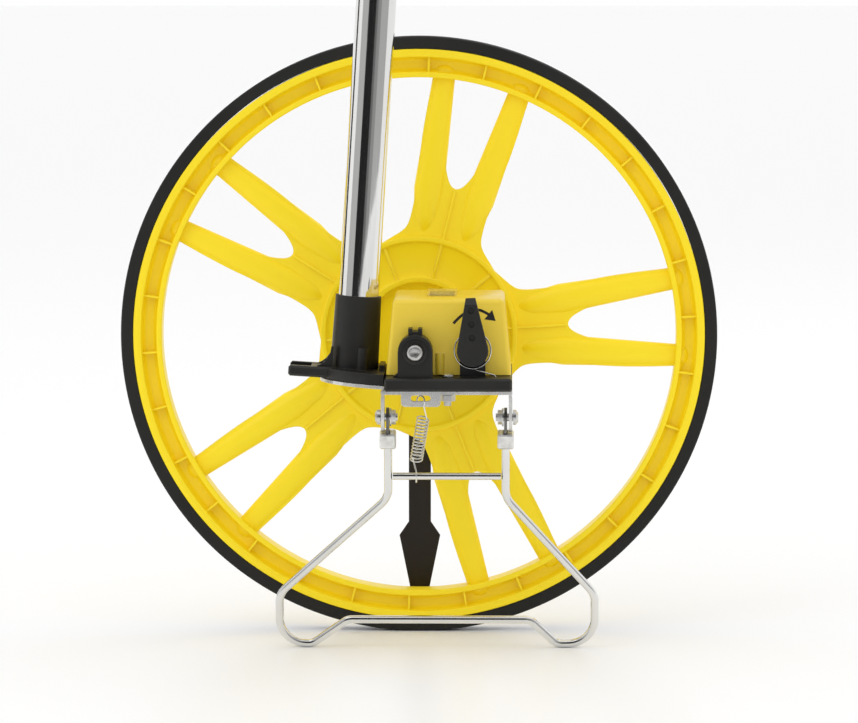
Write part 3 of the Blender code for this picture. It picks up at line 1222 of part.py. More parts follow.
def bend_cut(side, edge):
    """What rounds off the sheet's outer corner where an ear is folded down."""
    pieces = 5
    outline = [(edge + side * OVERRUN, BRACKET_TOP + OVERRUN)]
    outline.append((edge - side * BRACKET_BEND, BRACKET_TOP + OVERRUN))
    centre = (edge - side * BRACKET_BEND, BRACKET_TOP - BRACKET_BEND)
    outline += [(centre[0] + side * BRACKET_BEND * sin(turn), centre[1] + BRACKET_BEND * cos(turn))
                for turn in (pi / 2 * i / pieces for i in range(pieces + 1))]
    outline.append((edge + side * OVERRUN, centre[1]))
    return flat(f"bend_cut_{side}", [outline], 2 * EAR_EYE_RADIUS, at(0, PIVOT_DEPTH, 0))


def half_disc(radius, right):
    """Plan outline of a plate with a half-round left end, in the handle's frame."""
    return [(right, -radius), (right, radius)] + arc((FLANGE_CENTRE_X, 0), radius, pi / 2, 3 * pi / 2, 14)


def socket_screw_places():
    """Where the countersunk screws come up through the handle plate, in the handle's frame."""
    return [(SOCKET_BOSS_X_OFFSET, SOCKET_BOSS_STANDOFF), (SOCKET_BOSS_X_OFFSET, -SOCKET_BOSS_STANDOFF)]


def build_handle_plate():
    """The steel plate under the handle: a flat foot in the base and a leaning half-round wing."""
    plate = box("handle_plate", (PLATE_BEND_X, HANDLE_DEPTH - PLATE_END_RADIUS, PLATE_BOTTOM),
                (PLATE_RIGHT_X, HANDLE_DEPTH + PLATE_END_RADIUS, PLATE_TOP), PARTS, ZINC)
    overlap = FLANGE_CENTRE_X + PLATE_SHEET / 2
    wing = flat("plate_wing", [half_disc(PLATE_END_RADIUS - SEAT_GAP, overlap)], PLATE_SHEET,
                (0, 0, -SEAT_GAP - PLATE_SHEET / 2), rotation=LYING)
    join(plate, *into_frame(HANDLE_FRAME, wing))
    cuts = [rod(f"plate_hole_{i}", BASE_SCREW_RADIUS + SEAT_GAP, -PLATE_SHEET - OVERRUN, OVERRUN,
                at(x, depth, PLATE_TOP), SCREW_STEPS, rotation=LYING)
            for i, (x, depth) in enumerate(plate_screw_places())]
    small = SOCKET_SCREW_RADIUS + SEAT_GAP
    wide = SOCKET_SCREW_HEAD + SEAT_GAP
    under = -PLATE_SHEET - SEAT_GAP
    sink = [(0, OVERRUN), (small, OVERRUN), (small, -SEAT_GAP), (wide, under), (wide, under - OVERRUN),
            (0, under - OVERRUN)]
    sinks = [turned(f"plate_sink_{i}", sink, (x, y, 0), SCREW_STEPS, rotation=LYING)
             for i, (x, y) in enumerate(socket_screw_places())]
    carve(plate, *cuts, *into_frame(HANDLE_FRAME, *sinks))
    return plate


def build_socket():
    """The black handle socket: leaning sleeve, round flange, tongue, gussets and screw bosses."""
    draft = [(0, SOCKET_HEIGHT), (SOCKET_RADIUS, SOCKET_HEIGHT), (SOCKET_FOOT_RADIUS, FLANGE_THICKNESS / 2),
             (0, FLANGE_THICKNESS / 2)]
    socket = turned("handle_socket", draft, (0, 0, 0), TUBE_STEPS, PARTS, BLACK, rotation=LYING)
    right = (COUNTER_X - BASE_WIDTH / 2 - FLANGE_RIGHT_GAP - HANDLE_FOOT_X) / cos(HANDLE_LEAN)
    flange = flat("socket_flange", [half_disc(FLANGE_RADIUS, right)], FLANGE_THICKNESS,
                  (0, 0, FLANGE_THICKNESS / 2), rotation=LYING)
    soften(flange, BASE_EDGE)
    half = TONGUE_WIDTH / 2
    top = FLANGE_THICKNESS
    tongue = block("socket_tongue", (-TONGUE_LENGTH, -half, SEAT_GAP), (-TUBE_RADIUS, half, top + SEAT_GAP))
    soften(tongue, BASE_EDGE)
    lug = block("flange_lug", (right - FLANGE_LUG_WIDTH, -FLANGE_LUG_LENGTH, top / 2),
                (right - SEAT_GAP, FLANGE_LUG_LENGTH, top + FLANGE_LUG_HEIGHT))
    pieces = [flange, tongue, lug]
    face = -(SOCKET_RADIUS + SOCKET_FOOT_RADIUS) / 2
    root = -TUBE_RADIUS - SEAT_GAP * 2
    gusset = [(face - GUSSET_REACH, top / 2), (root, top / 2), (root, top + GUSSET_HEIGHT)]
    gusset += [(face - GUSSET_REACH * (1 - sin(turn)), top + GUSSET_HEIGHT * (1 - cos(turn)))
               for turn in (pi / 2 * (1 - i / 6) for i in range(7))]
    for side in (-1, 1):
        pieces.append(flat(f"gusset_{side}", [gusset], GUSSET_THICKNESS, (0, side * GUSSET_SPACING / 2, 0)))
        pieces.append(rod(f"socket_boss_{side}", SOCKET_BOSS_RADIUS, top / 2, top + SOCKET_BOSS_HEIGHT,
                          (SOCKET_BOSS_X_OFFSET, side * SOCKET_BOSS_STANDOFF, 0), SCREW_STEPS, rotation=LYING))
    join(socket, *into_frame(HANDLE_FRAME, *pieces))
    bore = rod("tube_bore", TUBE_RADIUS + SEAT_GAP, SOCKET_FLOOR, SOCKET_HEIGHT + OVERRUN, (0, 0, 0), TUBE_STEPS,
               rotation=LYING)
    groove = block("tongue_groove", (-TONGUE_LENGTH - OVERRUN, -TONGUE_GROOVE_WIDTH / 2, top - TONGUE_GROOVE_DEPTH),
                   (face - GUSSET_REACH, TONGUE_GROOVE_WIDTH / 2, top + OVERRUN))
    pilots = [rod(f"socket_pilot_{i}", SOCKET_SCREW_RADIUS + SEAT_GAP, -OVERRUN, SOCKET_SCREW_LENGTH,
                  (x, y, 0), SCREW_STEPS, rotation=LYING)
              for i, (x, y) in enumerate(socket_screw_places())]
    carve(socket, *into_frame(HANDLE_FRAME, bore, groove, *pilots))
    into_frame(HANDLE_FRAME, socket)
    return socket


# Fasteners

def pan_head(radius, head_radius, head_height, length):
    """Profile of a pan-head screw, its head's seat at zero and its shank going down."""
    crown_radius = head_radius * PAN_CROWN_SHARES[0]
    crown = head_height * PAN_CROWN_SHARES[1]
    return [(0, head_height), (crown_radius, head_height), (head_radius, crown), (head_radius, 0), (radius, 0),
            (radius, -length), (0, -length)]


def build_base_fasteners():
    """Screws and nuts that hold base, bracket, plate and socket together."""
    stack = BASE_TOP - BRACKET_BOTTOM + 2 * SEAT_GAP + BASE_NUT_HEIGHT
    head = pan_head(BASE_SCREW_RADIUS, BASE_SCREW_HEAD_RADIUS, BASE_SCREW_HEAD_HEIGHT, stack + BASE_SCREW_END)
    under = BRACKET_BOTTOM - SEAT_GAP
    nut_outline = [hexagon(BASE_NUT_FLATS), circle(BASE_SCREW_RADIUS + SEAT_GAP, SCREW_STEPS)]
    made = []
    for i, (x, depth) in enumerate(base_screw_places()):
        made.append(turned(f"base_screw_{i + 1}", head, at(x, depth, BASE_TOP + SEAT_GAP), SCREW_STEPS, PARTS, ZINC,
                           rotation=LYING))
        made.append(flat(f"base_nut_{i + 1}", nut_outline, BASE_NUT_HEIGHT, at(x, depth, under - BASE_NUT_HEIGHT / 2),
                         PARTS, ZINC, LYING))
    reach = BASE_TOP - PILOT_ROOF - SEAT_GAP - under
    plate_head = pan_head(BASE_SCREW_RADIUS, BASE_SCREW_HEAD_RADIUS, BASE_SCREW_HEAD_HEIGHT, reach)
    made += [turned(f"plate_screw_{i + 1}", plate_head, at(x, depth, under), SCREW_STEPS, PARTS, ZINC,
                    rotation=UPSIDE_DOWN)
             for i, (x, depth) in enumerate(plate_screw_places())]
    tip = SOCKET_SCREW_LENGTH - 2 * SEAT_GAP
    face = -PLATE_SHEET - SEAT_GAP
    sunk = [(0, tip), (SOCKET_SCREW_RADIUS, tip), (SOCKET_SCREW_RADIUS, -SEAT_GAP), (SOCKET_SCREW_HEAD, face),
            (0, face)]
    socket_screws = [turned(f"socket_screw_{i + 1}", sunk, (x, y, 0), SCREW_STEPS, PARTS, ZINC, rotation=LYING)
                     for i, (x, y) in enumerate(socket_screw_places())]
    into_frame(HANDLE_FRAME, *socket_screws)
    return [round_shading(fastener) for fastener in made + socket_screws]


def build_pivot_fasteners():
    """The stand's pivot screws from outside, with washer-faced nuts inside."""
    head_seat = EAR_OUTER + SEAT_GAP
    washer_face = STRIP_INNER - SEAT_GAP
    nut_face = washer_face - PIVOT_WASHER_THICKNESS
    nut_back = nut_face - PIVOT_NUT_HEIGHT
    head = pan_head(PIVOT_SCREW_RADIUS, PIVOT_HEAD_RADIUS, PIVOT_HEAD_HEIGHT, head_seat - nut_back + PIVOT_SCREW_END)
    bore = PIVOT_SCREW_RADIUS + SEAT_GAP
    pivot = at(BRACKET_X, PIVOT_DEPTH, PIVOT_HEIGHT)
    made = []
    for name, side in (("left", -1), ("right", 1)):
        along = (0, side * pi / 2, 0)
        made.append(turned(f"{name}_pivot_screw", head, pivot + side * Vector((head_seat, 0, 0)), SHAFT_STEPS, PARTS,
                           ZINC, rotation=along))
        nut = ring(f"{name}_pivot_nut", bore, PIVOT_WASHER_RADIUS, nut_face, washer_face, pivot, SHAFT_STEPS, PARTS,
                   ZINC, along)
        overlap = PIVOT_WASHER_THICKNESS / 2
        middle = side * (nut_face + overlap + nut_back) / 2
        hexagonal = flat(f"{name}_pivot_nut_hexagon", [hexagon(PIVOT_NUT_FLATS), circle(bore, SHAFT_STEPS)],
                         PIVOT_NUT_HEIGHT + overlap, pivot + Vector((middle, 0, 0)), rotation=along)
        made.append(join(nut, hexagonal))
    return [round_shading(fastener) for fastener in made]


# Telescopic handle

def on_handle_axis(name, profile, steps, finish, closed=True):
    """A turned piece on the handle's leaning axis."""
    made = turned(name, profile, (0, 0, 0), steps, PARTS, finish, closed, LYING)
    into_frame(HANDLE_FRAME, made)
    return round_shading(made)


def tube(name, radius, start, end):
    """A thin chromed tube on the handle's axis."""
    profile = ((radius, end), (radius, start), (radius - TUBE_WALL, start), (radius - TUBE_WALL, end))
    return on_handle_axis(name, profile, TUBE_STEPS, CHROME)


def build_tubes():
    """The three telescopic tubes, pushed together."""
    return (tube("outer_tube", TUBE_RADIUS, OUTER_START, OUTER_END),
            tube("middle_tube", MIDDLE_RADIUS, MIDDLE_START, MIDDLE_END),
            tube("inner_tube", INNER_RADIUS, INNER_START, INNER_END))


def build_lock(name, lower_radius, upper_radius, start, tube_end):
    """A ribbed twist lock that sits over a tube's end and grips the next tube."""
    end = start + LOCK_LENGTH
    seat = tube_end + SEAT_GAP
    wide = lower_radius + RUN_GAP
    narrow = upper_radius + RUN_GAP
    profile = [(LOCK_RADIUS - LOCK_EDGE, end), (LOCK_RADIUS, end - LOCK_EDGE), (LOCK_RADIUS, start + LOCK_EDGE),
               (LOCK_RADIUS - LOCK_EDGE, start), (wide, start), (wide, seat), (narrow, seat), (narrow, end)]
    lock = on_handle_axis(name, profile, TUBE_STEPS, BLACK)
    ribs = [rod(f"{name}_rib_{i}", LOCK_RIB_RADIUS, start + 2 * LOCK_EDGE, end - 2 * LOCK_EDGE, (*foot, 0), 6,
                rotation=LYING)
            for i, foot in enumerate(circle(LOCK_RADIUS, LOCK_RIBS))]
    join(lock, *into_frame(HANDLE_FRAME, *ribs))
    return lock


def build_grip():
    """The grooved rubber grip and the cap that closes the inner tube."""
    start = INNER_END - GRIP_LENGTH
    bore = INNER_RADIUS + SEAT_GAP
    groove_floor = GRIP_RADIUS - GRIP_GROOVE
    profile = [(groove_floor, INNER_END), (GRIP_RADIUS, INNER_END - GRIP_GROOVE)]
    pitch = GRIP_LENGTH / (GRIP_RIBS + 1)
    for i in range(GRIP_RIBS):
        groove = INNER_END - (i + 1) * pitch
        profile += [(GRIP_RADIUS, groove + GRIP_GROOVE), (groove_floor, groove), (GRIP_RADIUS, groove - GRIP_GROOVE)]
    profile += [(GRIP_RADIUS, start + GRIP_GROOVE), (groove_floor, start), (bore, start), (bore, INNER_END)]
    grip = on_handle_axis("grip", profile, GRIP_STEPS, RUBBER)
    plug = INNER_RADIUS - TUBE_WALL - SEAT_GAP
    seat = INNER_END + SEAT_GAP
    edge = CAP_HEIGHT / 3
    top = seat + CAP_HEIGHT
    cap_profile = [(0, top), (CAP_RADIUS - edge, top), (CAP_RADIUS, top - edge), (CAP_RADIUS, seat), (plug, seat),
                   (plug, seat - CAP_PLUG_LENGTH), (0, seat - CAP_PLUG_LENGTH)]
    cap = on_handle_axis("end_cap", cap_profile, GRIP_STEPS, BLACK, False)
    return grip, cap


# Wire stand

def stand_wire_path():
    """The bent wire's centre line, from the left leg's top round both feet to the right one's."""
    corners = [on_stand(-LEG_OFFSET, LEG_TOP), on_stand(-LEG_OFFSET, LEG_BEND_DROP),
               on_stand(-LEFT_REACH, LOBE_DROP), on_stand(-LEFT_REACH, STAND_DROP),
               on_stand(-LEFT_REACH + LEFT_FOOT_LENGTH, STAND_DROP), on_stand(-LEFT_REACH + LEFT_BAR_INSET, BAR_DROP),
               on_stand(RIGHT_REACH - RIGHT_BAR_INSET, BAR_DROP),
               on_stand(RIGHT_REACH - RIGHT_FOOT_LENGTH, STAND_DROP), on_stand(RIGHT_REACH, STAND_DROP),
               on_stand(RIGHT_REACH, LOBE_DROP), on_stand(LEG_OFFSET, LEG_BEND_DROP), on_stand(LEG_OFFSET, LEG_TOP)]
    left_radii = [LEG_BEND_RADIUS, LOBE_RADIUS, FOOT_RADIUS, BAR_BEND_RADIUS, BAR_BEND_RADIUS]
    return filleted(corners, left_radii + left_radii[::-1], CORNER_PIECES)


def build_stand():
    """The wire frame with its crossbar, hinge strips and crimp blocks."""
    frame = wire("stand_wire", stand_wire_path(), WIRE_RADIUS, 2, PARTS, CHROME)
    reach = LEG_OFFSET - WIRE_RADIUS - SEAT_GAP
    crossbar = rod("stand_crossbar", CROSSBAR_RADIUS, -reach, reach, (0, 0, -CROSSBAR_DROP), SCREW_STEPS, PARTS,
                   CHROME, (0, pi / 2, 0))
    strips = []
    blocks = []
    for name, side in (("left", -1), ("right", 1)):
        half = STRIP_WIDTH / 2
        outline = [(half, -STRIP_DROP), (half, 0)] + arc((0, 0), half, 0, pi, 10) + [(-half, 0), (-half, -STRIP_DROP)]
        narrow = CRIMP_SIZE / 2 - CRIMP_EDGE - SEAT_GAP
        outline = [(narrow, -STRIP_DROP), (narrow, -CRIMP_DROP + SEAT_GAP), (half, -CRIMP_DROP + half), *outline[1:-1],
                   (-half, -CRIMP_DROP + half), (-narrow, -CRIMP_DROP + SEAT_GAP), (-narrow, -STRIP_DROP)]
        hole = circle(PIVOT_SCREW_RADIUS + RUN_GAP, SHAFT_STEPS)
        strips.append(flat(f"{name}_hinge_strip", [outline, hole], STRIP_SHEET, (side * LEG_OFFSET, 0, 0), PARTS,
                           STEEL, SIDEWAYS))
        size = CRIMP_SIZE / 2
        crimp = block(f"{name}_crimp_block", (side * LEG_OFFSET - size, -size, -CRIMP_BOTTOM),
                      (side * LEG_OFFSET + size, size, -CRIMP_DROP), PARTS, ZINC)
        soften(crimp, CRIMP_EDGE)
        slot = block(f"{name}_crimp_slot", (side * LEG_OFFSET - STRIP_SHEET / 2 - SEAT_GAP, -narrow - SEAT_GAP,
                                            -STRIP_DROP - SEAT_GAP),
                     (side * LEG_OFFSET + STRIP_SHEET / 2 + SEAT_GAP, narrow + SEAT_GAP, -CRIMP_DROP + OVERRUN))
        bore = rod(f"{name}_crimp_bore", WIRE_RADIUS + SEAT_GAP, -CRIMP_BOTTOM - OVERRUN, -STRIP_DROP,
                   (side * LEG_OFFSET, 0, 0), SHAFT_STEPS, rotation=LYING)
        carve(crimp, *into_frame(STAND_FRAME, slot, bore))
        blocks.append(crimp)
    into_frame(STAND_FRAME, crossbar, *strips, *blocks)
    return [round_shading(frame), round_shading(crossbar), *strips, *blocks]


# Springs

def hook_points(centre, forward, start, end):
    """Points of a round hook about a centre, in the upright plane that holds a direction."""
    upward = Vector((0, 0, 1))
    angles = [start + (end - start) * i / HOOK_POINTS for i in range(HOOK_POINTS + 1)]
    return [centre + HOOK_RADIUS * (forward * cos(angle) + upward * sin(angle)) for angle in angles]


def build_extension_spring():
    """The stand's spring: one wire with a hook in the tab's slot, open coils and a hook round the crossbar."""
    top = at(TAB_X, TAB_DEPTH, (SLOT_LOW + TAB_LOW) / 2)
    bottom = on_stand(0, CROSSBAR_DROP)
    bottom.x = SPRING_BOTTOM_X
    start = top.lerp(bottom, SPRING_START_SHARE)
    end = top.lerp(bottom, SPRING_END_SHARE)
    start.x = SPRING_TOP_X
    end.x = SPRING_BOTTOM_X
    forward = Vector((sin(HOOK_TURN), -cos(HOOK_TURN), 0))
    toward_viewer = Vector((0, -1, 0))
    coil = helix(start, end, SPRING_RADIUS, SPRING_TURNS, SPRING_POINTS, forward)
    path = hook_points(top, forward, radians(200), radians(-40)) + coil
    path += hook_points(bottom, toward_viewer, radians(50), radians(-190))
    least_self_gap("extension_spring", path, SPRING_WIRE / 2, SPRING_POINTS // 2)
    return round_shading(wire("extension_spring", path, SPRING_WIRE / 2, 1, PARTS, CHROME))


# Assembly

def assemble():
    """Build every piece and put what moves on a carrier at its joint's axis."""
    root = carrier("counter_carrier", at(0, 0, 0))
    base = build_base()
    housing = build_housing()
    window = build_window()
    frame = build_frame()
    gear, drum_shaft, drums = build_drums()
    pinion_shaft, pinions = build_pinions()
    outer, middle, inner = build_tubes()
    carry(root, base, housing, window, frame, pinion_shaft, outer, *build_bushes(), build_bracket(),
          build_handle_plate(), build_socket(), *build_base_fasteners(), *build_pivot_fasteners(),
          build_torsion_spring(), build_extension_spring())

    wheel = carrier("wheel_carrier", at(0, 0, 0))
    carry(wheel, build_wheel(), build_tyre(), build_drive_gear(), *build_axle())
    pointer = carrier("pointer_carrier", at(0, POINTER_DEPTH - POINTER_THICKNESS / 2, 0))
    carry(pointer, build_pointer())
    reset = carrier("reset_carrier", at(LEVER_X, LEVER_BACK_DEPTH, LEVER_HEIGHT))
    carry(reset, build_lever(), *build_reset())
    drum_axis = at(DRUM_X, GEAR_BACK_DEPTH, DRUM_HEIGHT)
    first_drum = carrier("first_drum_carrier", drum_axis)
    carry(first_drum, gear, drum_shaft, drums[0])
    carriers = [wheel, pointer, reset, first_drum]
    for i, drum in enumerate(drums[1:]):
        holder = carrier(f"drum_{i + 2}_carrier", drum_axis)
        carry(holder, drum)
        carriers.append(holder)
    for i, pinion in enumerate(pinions):
        holder = carrier(f"pinion_{i + 1}_carrier", at(PINION_X, GEAR_BACK_DEPTH, PINION_HEIGHT))
        carry(holder, pinion)
        carriers.append(holder)
    stand = carrier("stand_carrier", at(BRACKET_X, PIVOT_DEPTH, PIVOT_HEIGHT))
    carry(stand, *build_stand())
    carriers.append(stand)

    handle_foot = at(HANDLE_FOOT_X, HANDLE_DEPTH, HANDLE_FOOT)
    lower_lock = carrier("lower_lock_carrier", handle_foot)
    carry(lower_lock, build_lock("lower_twist_lock", TUBE_RADIUS, MIDDLE_RADIUS, LOWER_LOCK_START, OUTER_END))
    middle_section = carrier("middle_section_carrier", handle_foot)
    carry(middle_section, middle)
    upper_lock = carrier("upper_lock_carrier", handle_foot)
    carry(upper_lock, build_lock("upper_twist_lock", MIDDLE_RADIUS, INNER_RADIUS, UPPER_LOCK_START, MIDDLE_END))
    top_section = carrier("top_section_carrier", handle_foot)
    carry(top_section, inner, *build_grip())
    carry(middle_section, upper_lock, top_section)
    carry(root, *carriers, lower_lock, middle_section)
    for collection in (PARTS, SHAPES):
        bpy.context.scene.collection.children.link(collection)


assemble()
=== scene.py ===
"""Looks of a measuring wheel: spoked wheel, counter, telescopic handle and folding wire stand.

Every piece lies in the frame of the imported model, in metres: +X to the right when the counter faces
the viewer, +Y away from the viewer, +Z up from the floor. Places on the wheel are given as x from the
axle, depth from the wheel's middle plane towards the viewer, and height from the axle.
"""

import logging
from collections.abc import Sequence
from dataclasses import dataclass, field
from enum import Enum
from math import asin, atan2, ceil, cos, hypot, pi, radians, sin

import bpy
from bpy.types import Material, Node, NodeSocket, NodeTree, Object
from mathutils import Matrix, Vector


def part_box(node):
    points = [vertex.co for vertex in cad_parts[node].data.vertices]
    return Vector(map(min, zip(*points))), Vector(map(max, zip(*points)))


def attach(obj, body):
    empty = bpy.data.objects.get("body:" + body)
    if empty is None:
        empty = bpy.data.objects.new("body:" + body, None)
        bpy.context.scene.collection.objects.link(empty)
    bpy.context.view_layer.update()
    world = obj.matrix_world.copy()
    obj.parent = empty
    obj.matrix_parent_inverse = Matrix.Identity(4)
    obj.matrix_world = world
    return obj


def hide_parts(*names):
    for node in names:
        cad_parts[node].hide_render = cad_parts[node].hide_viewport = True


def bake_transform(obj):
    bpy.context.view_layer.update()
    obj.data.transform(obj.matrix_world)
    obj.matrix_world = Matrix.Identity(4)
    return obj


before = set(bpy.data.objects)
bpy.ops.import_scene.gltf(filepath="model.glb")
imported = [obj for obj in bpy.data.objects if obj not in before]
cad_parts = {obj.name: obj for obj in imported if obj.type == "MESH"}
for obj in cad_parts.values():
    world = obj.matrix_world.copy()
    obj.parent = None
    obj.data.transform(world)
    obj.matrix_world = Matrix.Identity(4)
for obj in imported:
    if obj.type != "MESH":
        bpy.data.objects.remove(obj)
log = logging.getLogger("measuring_wheel")

Pair = tuple[float, float]
Colour = tuple[float, float, float]

# Places that several sub-assemblies share
WHEEL_Y = 0.04525
AXIS_HEIGHT = 0.15915
HANDLE_FOOT = Vector((-0.0328, -0.02675, 0.142123))
HANDLE_LEAN = radians(3.48)
PIVOT = Vector((0.0161, -0.05775, 0.12465))
STAND_LEAN = atan2(0.0340, 0.12255)


def at(x: float, depth: float, height: float) -> Vector:
    """World place of a point given from the axle and the wheel's middle plane."""
    return Vector((x, WHEEL_Y - depth, AXIS_HEIGHT + height))


HANDLE_FRAME = Matrix.Translation(HANDLE_FOOT) @ Matrix.Rotation(HANDLE_LEAN, 4, "Y")
STAND_FRAME = Matrix.Translation(PIVOT) @ Matrix.Rotation(STAND_LEAN, 4, "X")
WHEEL_FRAME = Matrix.Translation(at(0, 0, 0)) @ Matrix.Rotation(pi / 2, 4, "X")


def on_stand(x: float, drop: float) -> Vector:
    """World place on the stand's leaning plane, across from its middle and down from its pivot."""
    return STAND_FRAME @ Vector((x, 0, -drop))


# Bench tools


def deselect() -> None:
    """Leave nothing selected."""
    if bpy.context.object and bpy.context.object.mode != "OBJECT":
        bpy.ops.object.mode_set(mode="OBJECT")
    bpy.ops.object.select_all(action="DESELECT")


def take(piece: Object) -> None:
    """Select one piece alone and make it the active one."""
    deselect()
    piece.select_set(True)
    bpy.context.view_layer.objects.active = piece


def tidy_mesh(piece: Object, merge: float = 0.000002) -> Object:
    """Merge doubles, drop loose bits and turn all faces outwards.

    Args:
        piece: the mesh piece to clean.
        merge: the distance under which two vertices become one.

    Returns:
        The same piece.
    """
    take(piece)
    bpy.ops.object.mode_set(mode="EDIT")
    bpy.ops.mesh.select_all(action="SELECT")
    bpy.ops.mesh.remove_doubles(threshold=merge)
    bpy.ops.mesh.delete_loose(use_verts=True, use_edges=True, use_faces=False)
    bpy.ops.mesh.select_all(action="SELECT")
    bpy.ops.mesh.normals_make_consistent(inside=False)
    bpy.ops.object.mode_set(mode="OBJECT")
    return piece


def bevelled(piece: Object, width: float, segments: int = 2, angle: float = 35.0) -> Object:
    """Round a piece's sharp edges with a bevel that is applied.

    Args:
        piece: the mesh piece to round.
        width: the bevel's width in metres.
        segments: how many faces the bevel has across.
        angle: edges sharper than this many degrees are rounded.

    Returns:
        The same piece.
    """
    take(piece)
    bevel = piece.modifiers.new("rounding", "BEVEL")
    bevel.width = width
    bevel.segments = segments
    bevel.limit_method = "ANGLE"
    bevel.angle_limit = radians(angle)
    bevel.use_clamp_overlap = True
    bpy.ops.object.modifier_apply(modifier=bevel.name)
    return piece


def smoothed(piece: Object, angle: float = 35.0) -> Object:
    """Shade a piece smooth up to an angle in degrees and return it."""
    take(piece)
    bpy.ops.object.shade_smooth_by_angle(angle=radians(angle))
    return piece


def ring_of_edges(name: str, points: Sequence[Sequence[float]]) -> Object:
    """Make a closed loop of edges through points, from a circle whose vertices are moved.

    Args:
        name: the new object's name.
        points: the places that the loop goes through, in order.

    Returns:
        The new object.
    """
    deselect()
    bpy.ops.mesh.primitive_circle_add(
        vertices=len(points), radius=0.01, fill_type="NOTHING", location=(0, 0, 0))
    loop = bpy.context.object
    loop.name = name
    loop.data.name = name
    for vertex, place in zip(loop.data.vertices, points):
        vertex.co = place
    return loop


def spun(name: str, profile: Sequence[Pair], steps: int, placing: Matrix) -> Object:
    """Turn a closed profile about the local Z axis, as on a lathe.

    Args:
        name: the new piece's name.
        profile: radius and place along the axis of each corner, in order.
        steps: how many steps the full turn has.
        placing: matrix that carries the turned piece to its place.

    Returns:
        The turned piece.
    """
    piece = ring_of_edges(name, [(radius, 0, along) for radius, along in profile])
    take(piece)
    bpy.ops.object.mode_set(mode="EDIT")
    bpy.ops.mesh.select_all(action="SELECT")
    bpy.ops.mesh.spin(steps=steps, angle=2 * pi, center=(0, 0, 0), axis=(0, 0, 1))
    bpy.ops.object.mode_set(mode="OBJECT")
    tidy_mesh(piece)
    piece.data.transform(placing)
    return piece


def cut_sheet(name: str, outlines: Sequence[Sequence[Pair]], thickness: float, placing: Matrix) -> Object:
    """Cut a flat piece with holes from sheet.

    Args:
        name: the new piece's name.
        outlines: the outer outline and those of the holes, in the sheet's plane.
        thickness: the sheet's thickness, centred on the plane.
        placing: matrix that carries the sheet from the XY plane to its place.

    Returns:
        The flat piece as a mesh.
    """
    curve = bpy.data.curves.new(name, "CURVE")
    curve.dimensions = "2D"
    curve.fill_mode = "BOTH"
    curve.extrude = thickness / 2
    for outline in outlines:
        spline = curve.splines.new("POLY")
        spline.points.add(len(outline) - 1)
        spline.use_cyclic_u = True
        for point, (x, y) in zip(spline.points, outline):
            point.co = (x, y, 0, 1)
    piece = bpy.data.objects.new(name, curve)
    bpy.context.scene.collection.objects.link(piece)
    take(piece)
    bpy.ops.object.convert(target="MESH")
    piece = bpy.context.object
    tidy_mesh(piece)
    piece.data.transform(placing)
    return piece


def bent_wire(name: str, points: Sequence[Vector], radius: float, sides_level: int = 4) -> Object:
    """Make a round wire with closed ends through points.

    Args:
        name: the new piece's name.
        points: the wire's centre line.
        radius: the wire's radius.
        sides_level: how finely the wire is round.

    Returns:
        The wire as a mesh.
    """
    curve = bpy.data.curves.new(name, "CURVE")
    curve.dimensions = "3D"
    curve.bevel_depth = radius
    curve.bevel_resolution = sides_level
    curve.use_fill_caps = True
    spline = curve.splines.new("POLY")
    spline.points.add(len(points) - 1)
    for point, place in zip(spline.points, points):
        point.co = (*place, 1)
    piece = bpy.data.objects.new(name, curve)
    bpy.context.scene.collection.objects.link(piece)
    take(piece)
    bpy.ops.object.convert(target="MESH")
    return smoothed(tidy_mesh(bpy.context.object), 60)


def refined(node: str, name: str, edge: float = 0.0, angle: float = 35.0) -> Object:
    """Merge a copy of a CAD node's mesh so that its curved faces shade smoothly.

    Args:
        node: the CAD node to copy.
        name: the new piece's name.
        edge: width of a bevel on the sharp edges, or zero for none.
        angle: faces that meet at less than this many degrees shade as one.

    Returns:
        The merged copy.
    """
    piece = bpy.data.objects.new(name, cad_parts[node].data.copy())
    piece.data.materials.clear()
    bpy.context.scene.collection.objects.link(piece)
    take(piece)
    bpy.ops.object.mode_set(mode="EDIT")
    bpy.ops.mesh.select_all(action="SELECT")
    bpy.ops.mesh.remove_doubles(threshold=0.000002)
    bpy.ops.mesh.customdata_custom_splitnormals_clear()
    bpy.ops.mesh.dissolve_limited(angle_limit=radians(0.4))
    bpy.ops.object.mode_set(mode="OBJECT")
    if edge:
        bevelled(piece, edge, 2, angle)
    return smoothed(piece, angle)


def block(name: str, low: Sequence[float], high: Sequence[float]) -> Object:
    """Make a box between two corners, from a cube."""
    deselect()
    middle = [(a + b) / 2 for a, b in zip(low, high)]
    bpy.ops.mesh.primitive_cube_add(size=1, location=middle)
    piece = bpy.context.object
    piece.name = name
    piece.scale = [b - a for a, b in zip(low, high)]
    bpy.ops.object.transform_apply(location=True, rotation=True, scale=True)
    return piece


def joined(name: str, pieces: Sequence[Object]) -> Object:
    """Join loose bodies of one moulding into one named piece."""
    take(pieces[0])
    for piece in pieces[1:]:
        piece.select_set(True)
    bpy.ops.object.join()
    pieces[0].name = name
    return pieces[0]


def carved(piece: Object, cutter: Object) -> Object:
    """Cut one piece's shape out of another and drop the cutter."""
    take(piece)
    cut = piece.modifiers.new("cut", "BOOLEAN")
    cut.operation = "DIFFERENCE"
    cut.solver = "EXACT"
    cut.object = cutter
    bpy.ops.object.modifier_apply(modifier=cut.name)
    bpy.data.objects.remove(cutter)
    return piece


def arc(centre: Pair, radius: float, start: float, end: float, pieces: int) -> list[Pair]:
    """Points on an arc, both ends included."""
    return [(centre[0] + radius * cos(start + (end - start) * i / pieces),
             centre[1] + radius * sin(start + (end - start) * i / pieces)) for i in range(pieces + 1)]


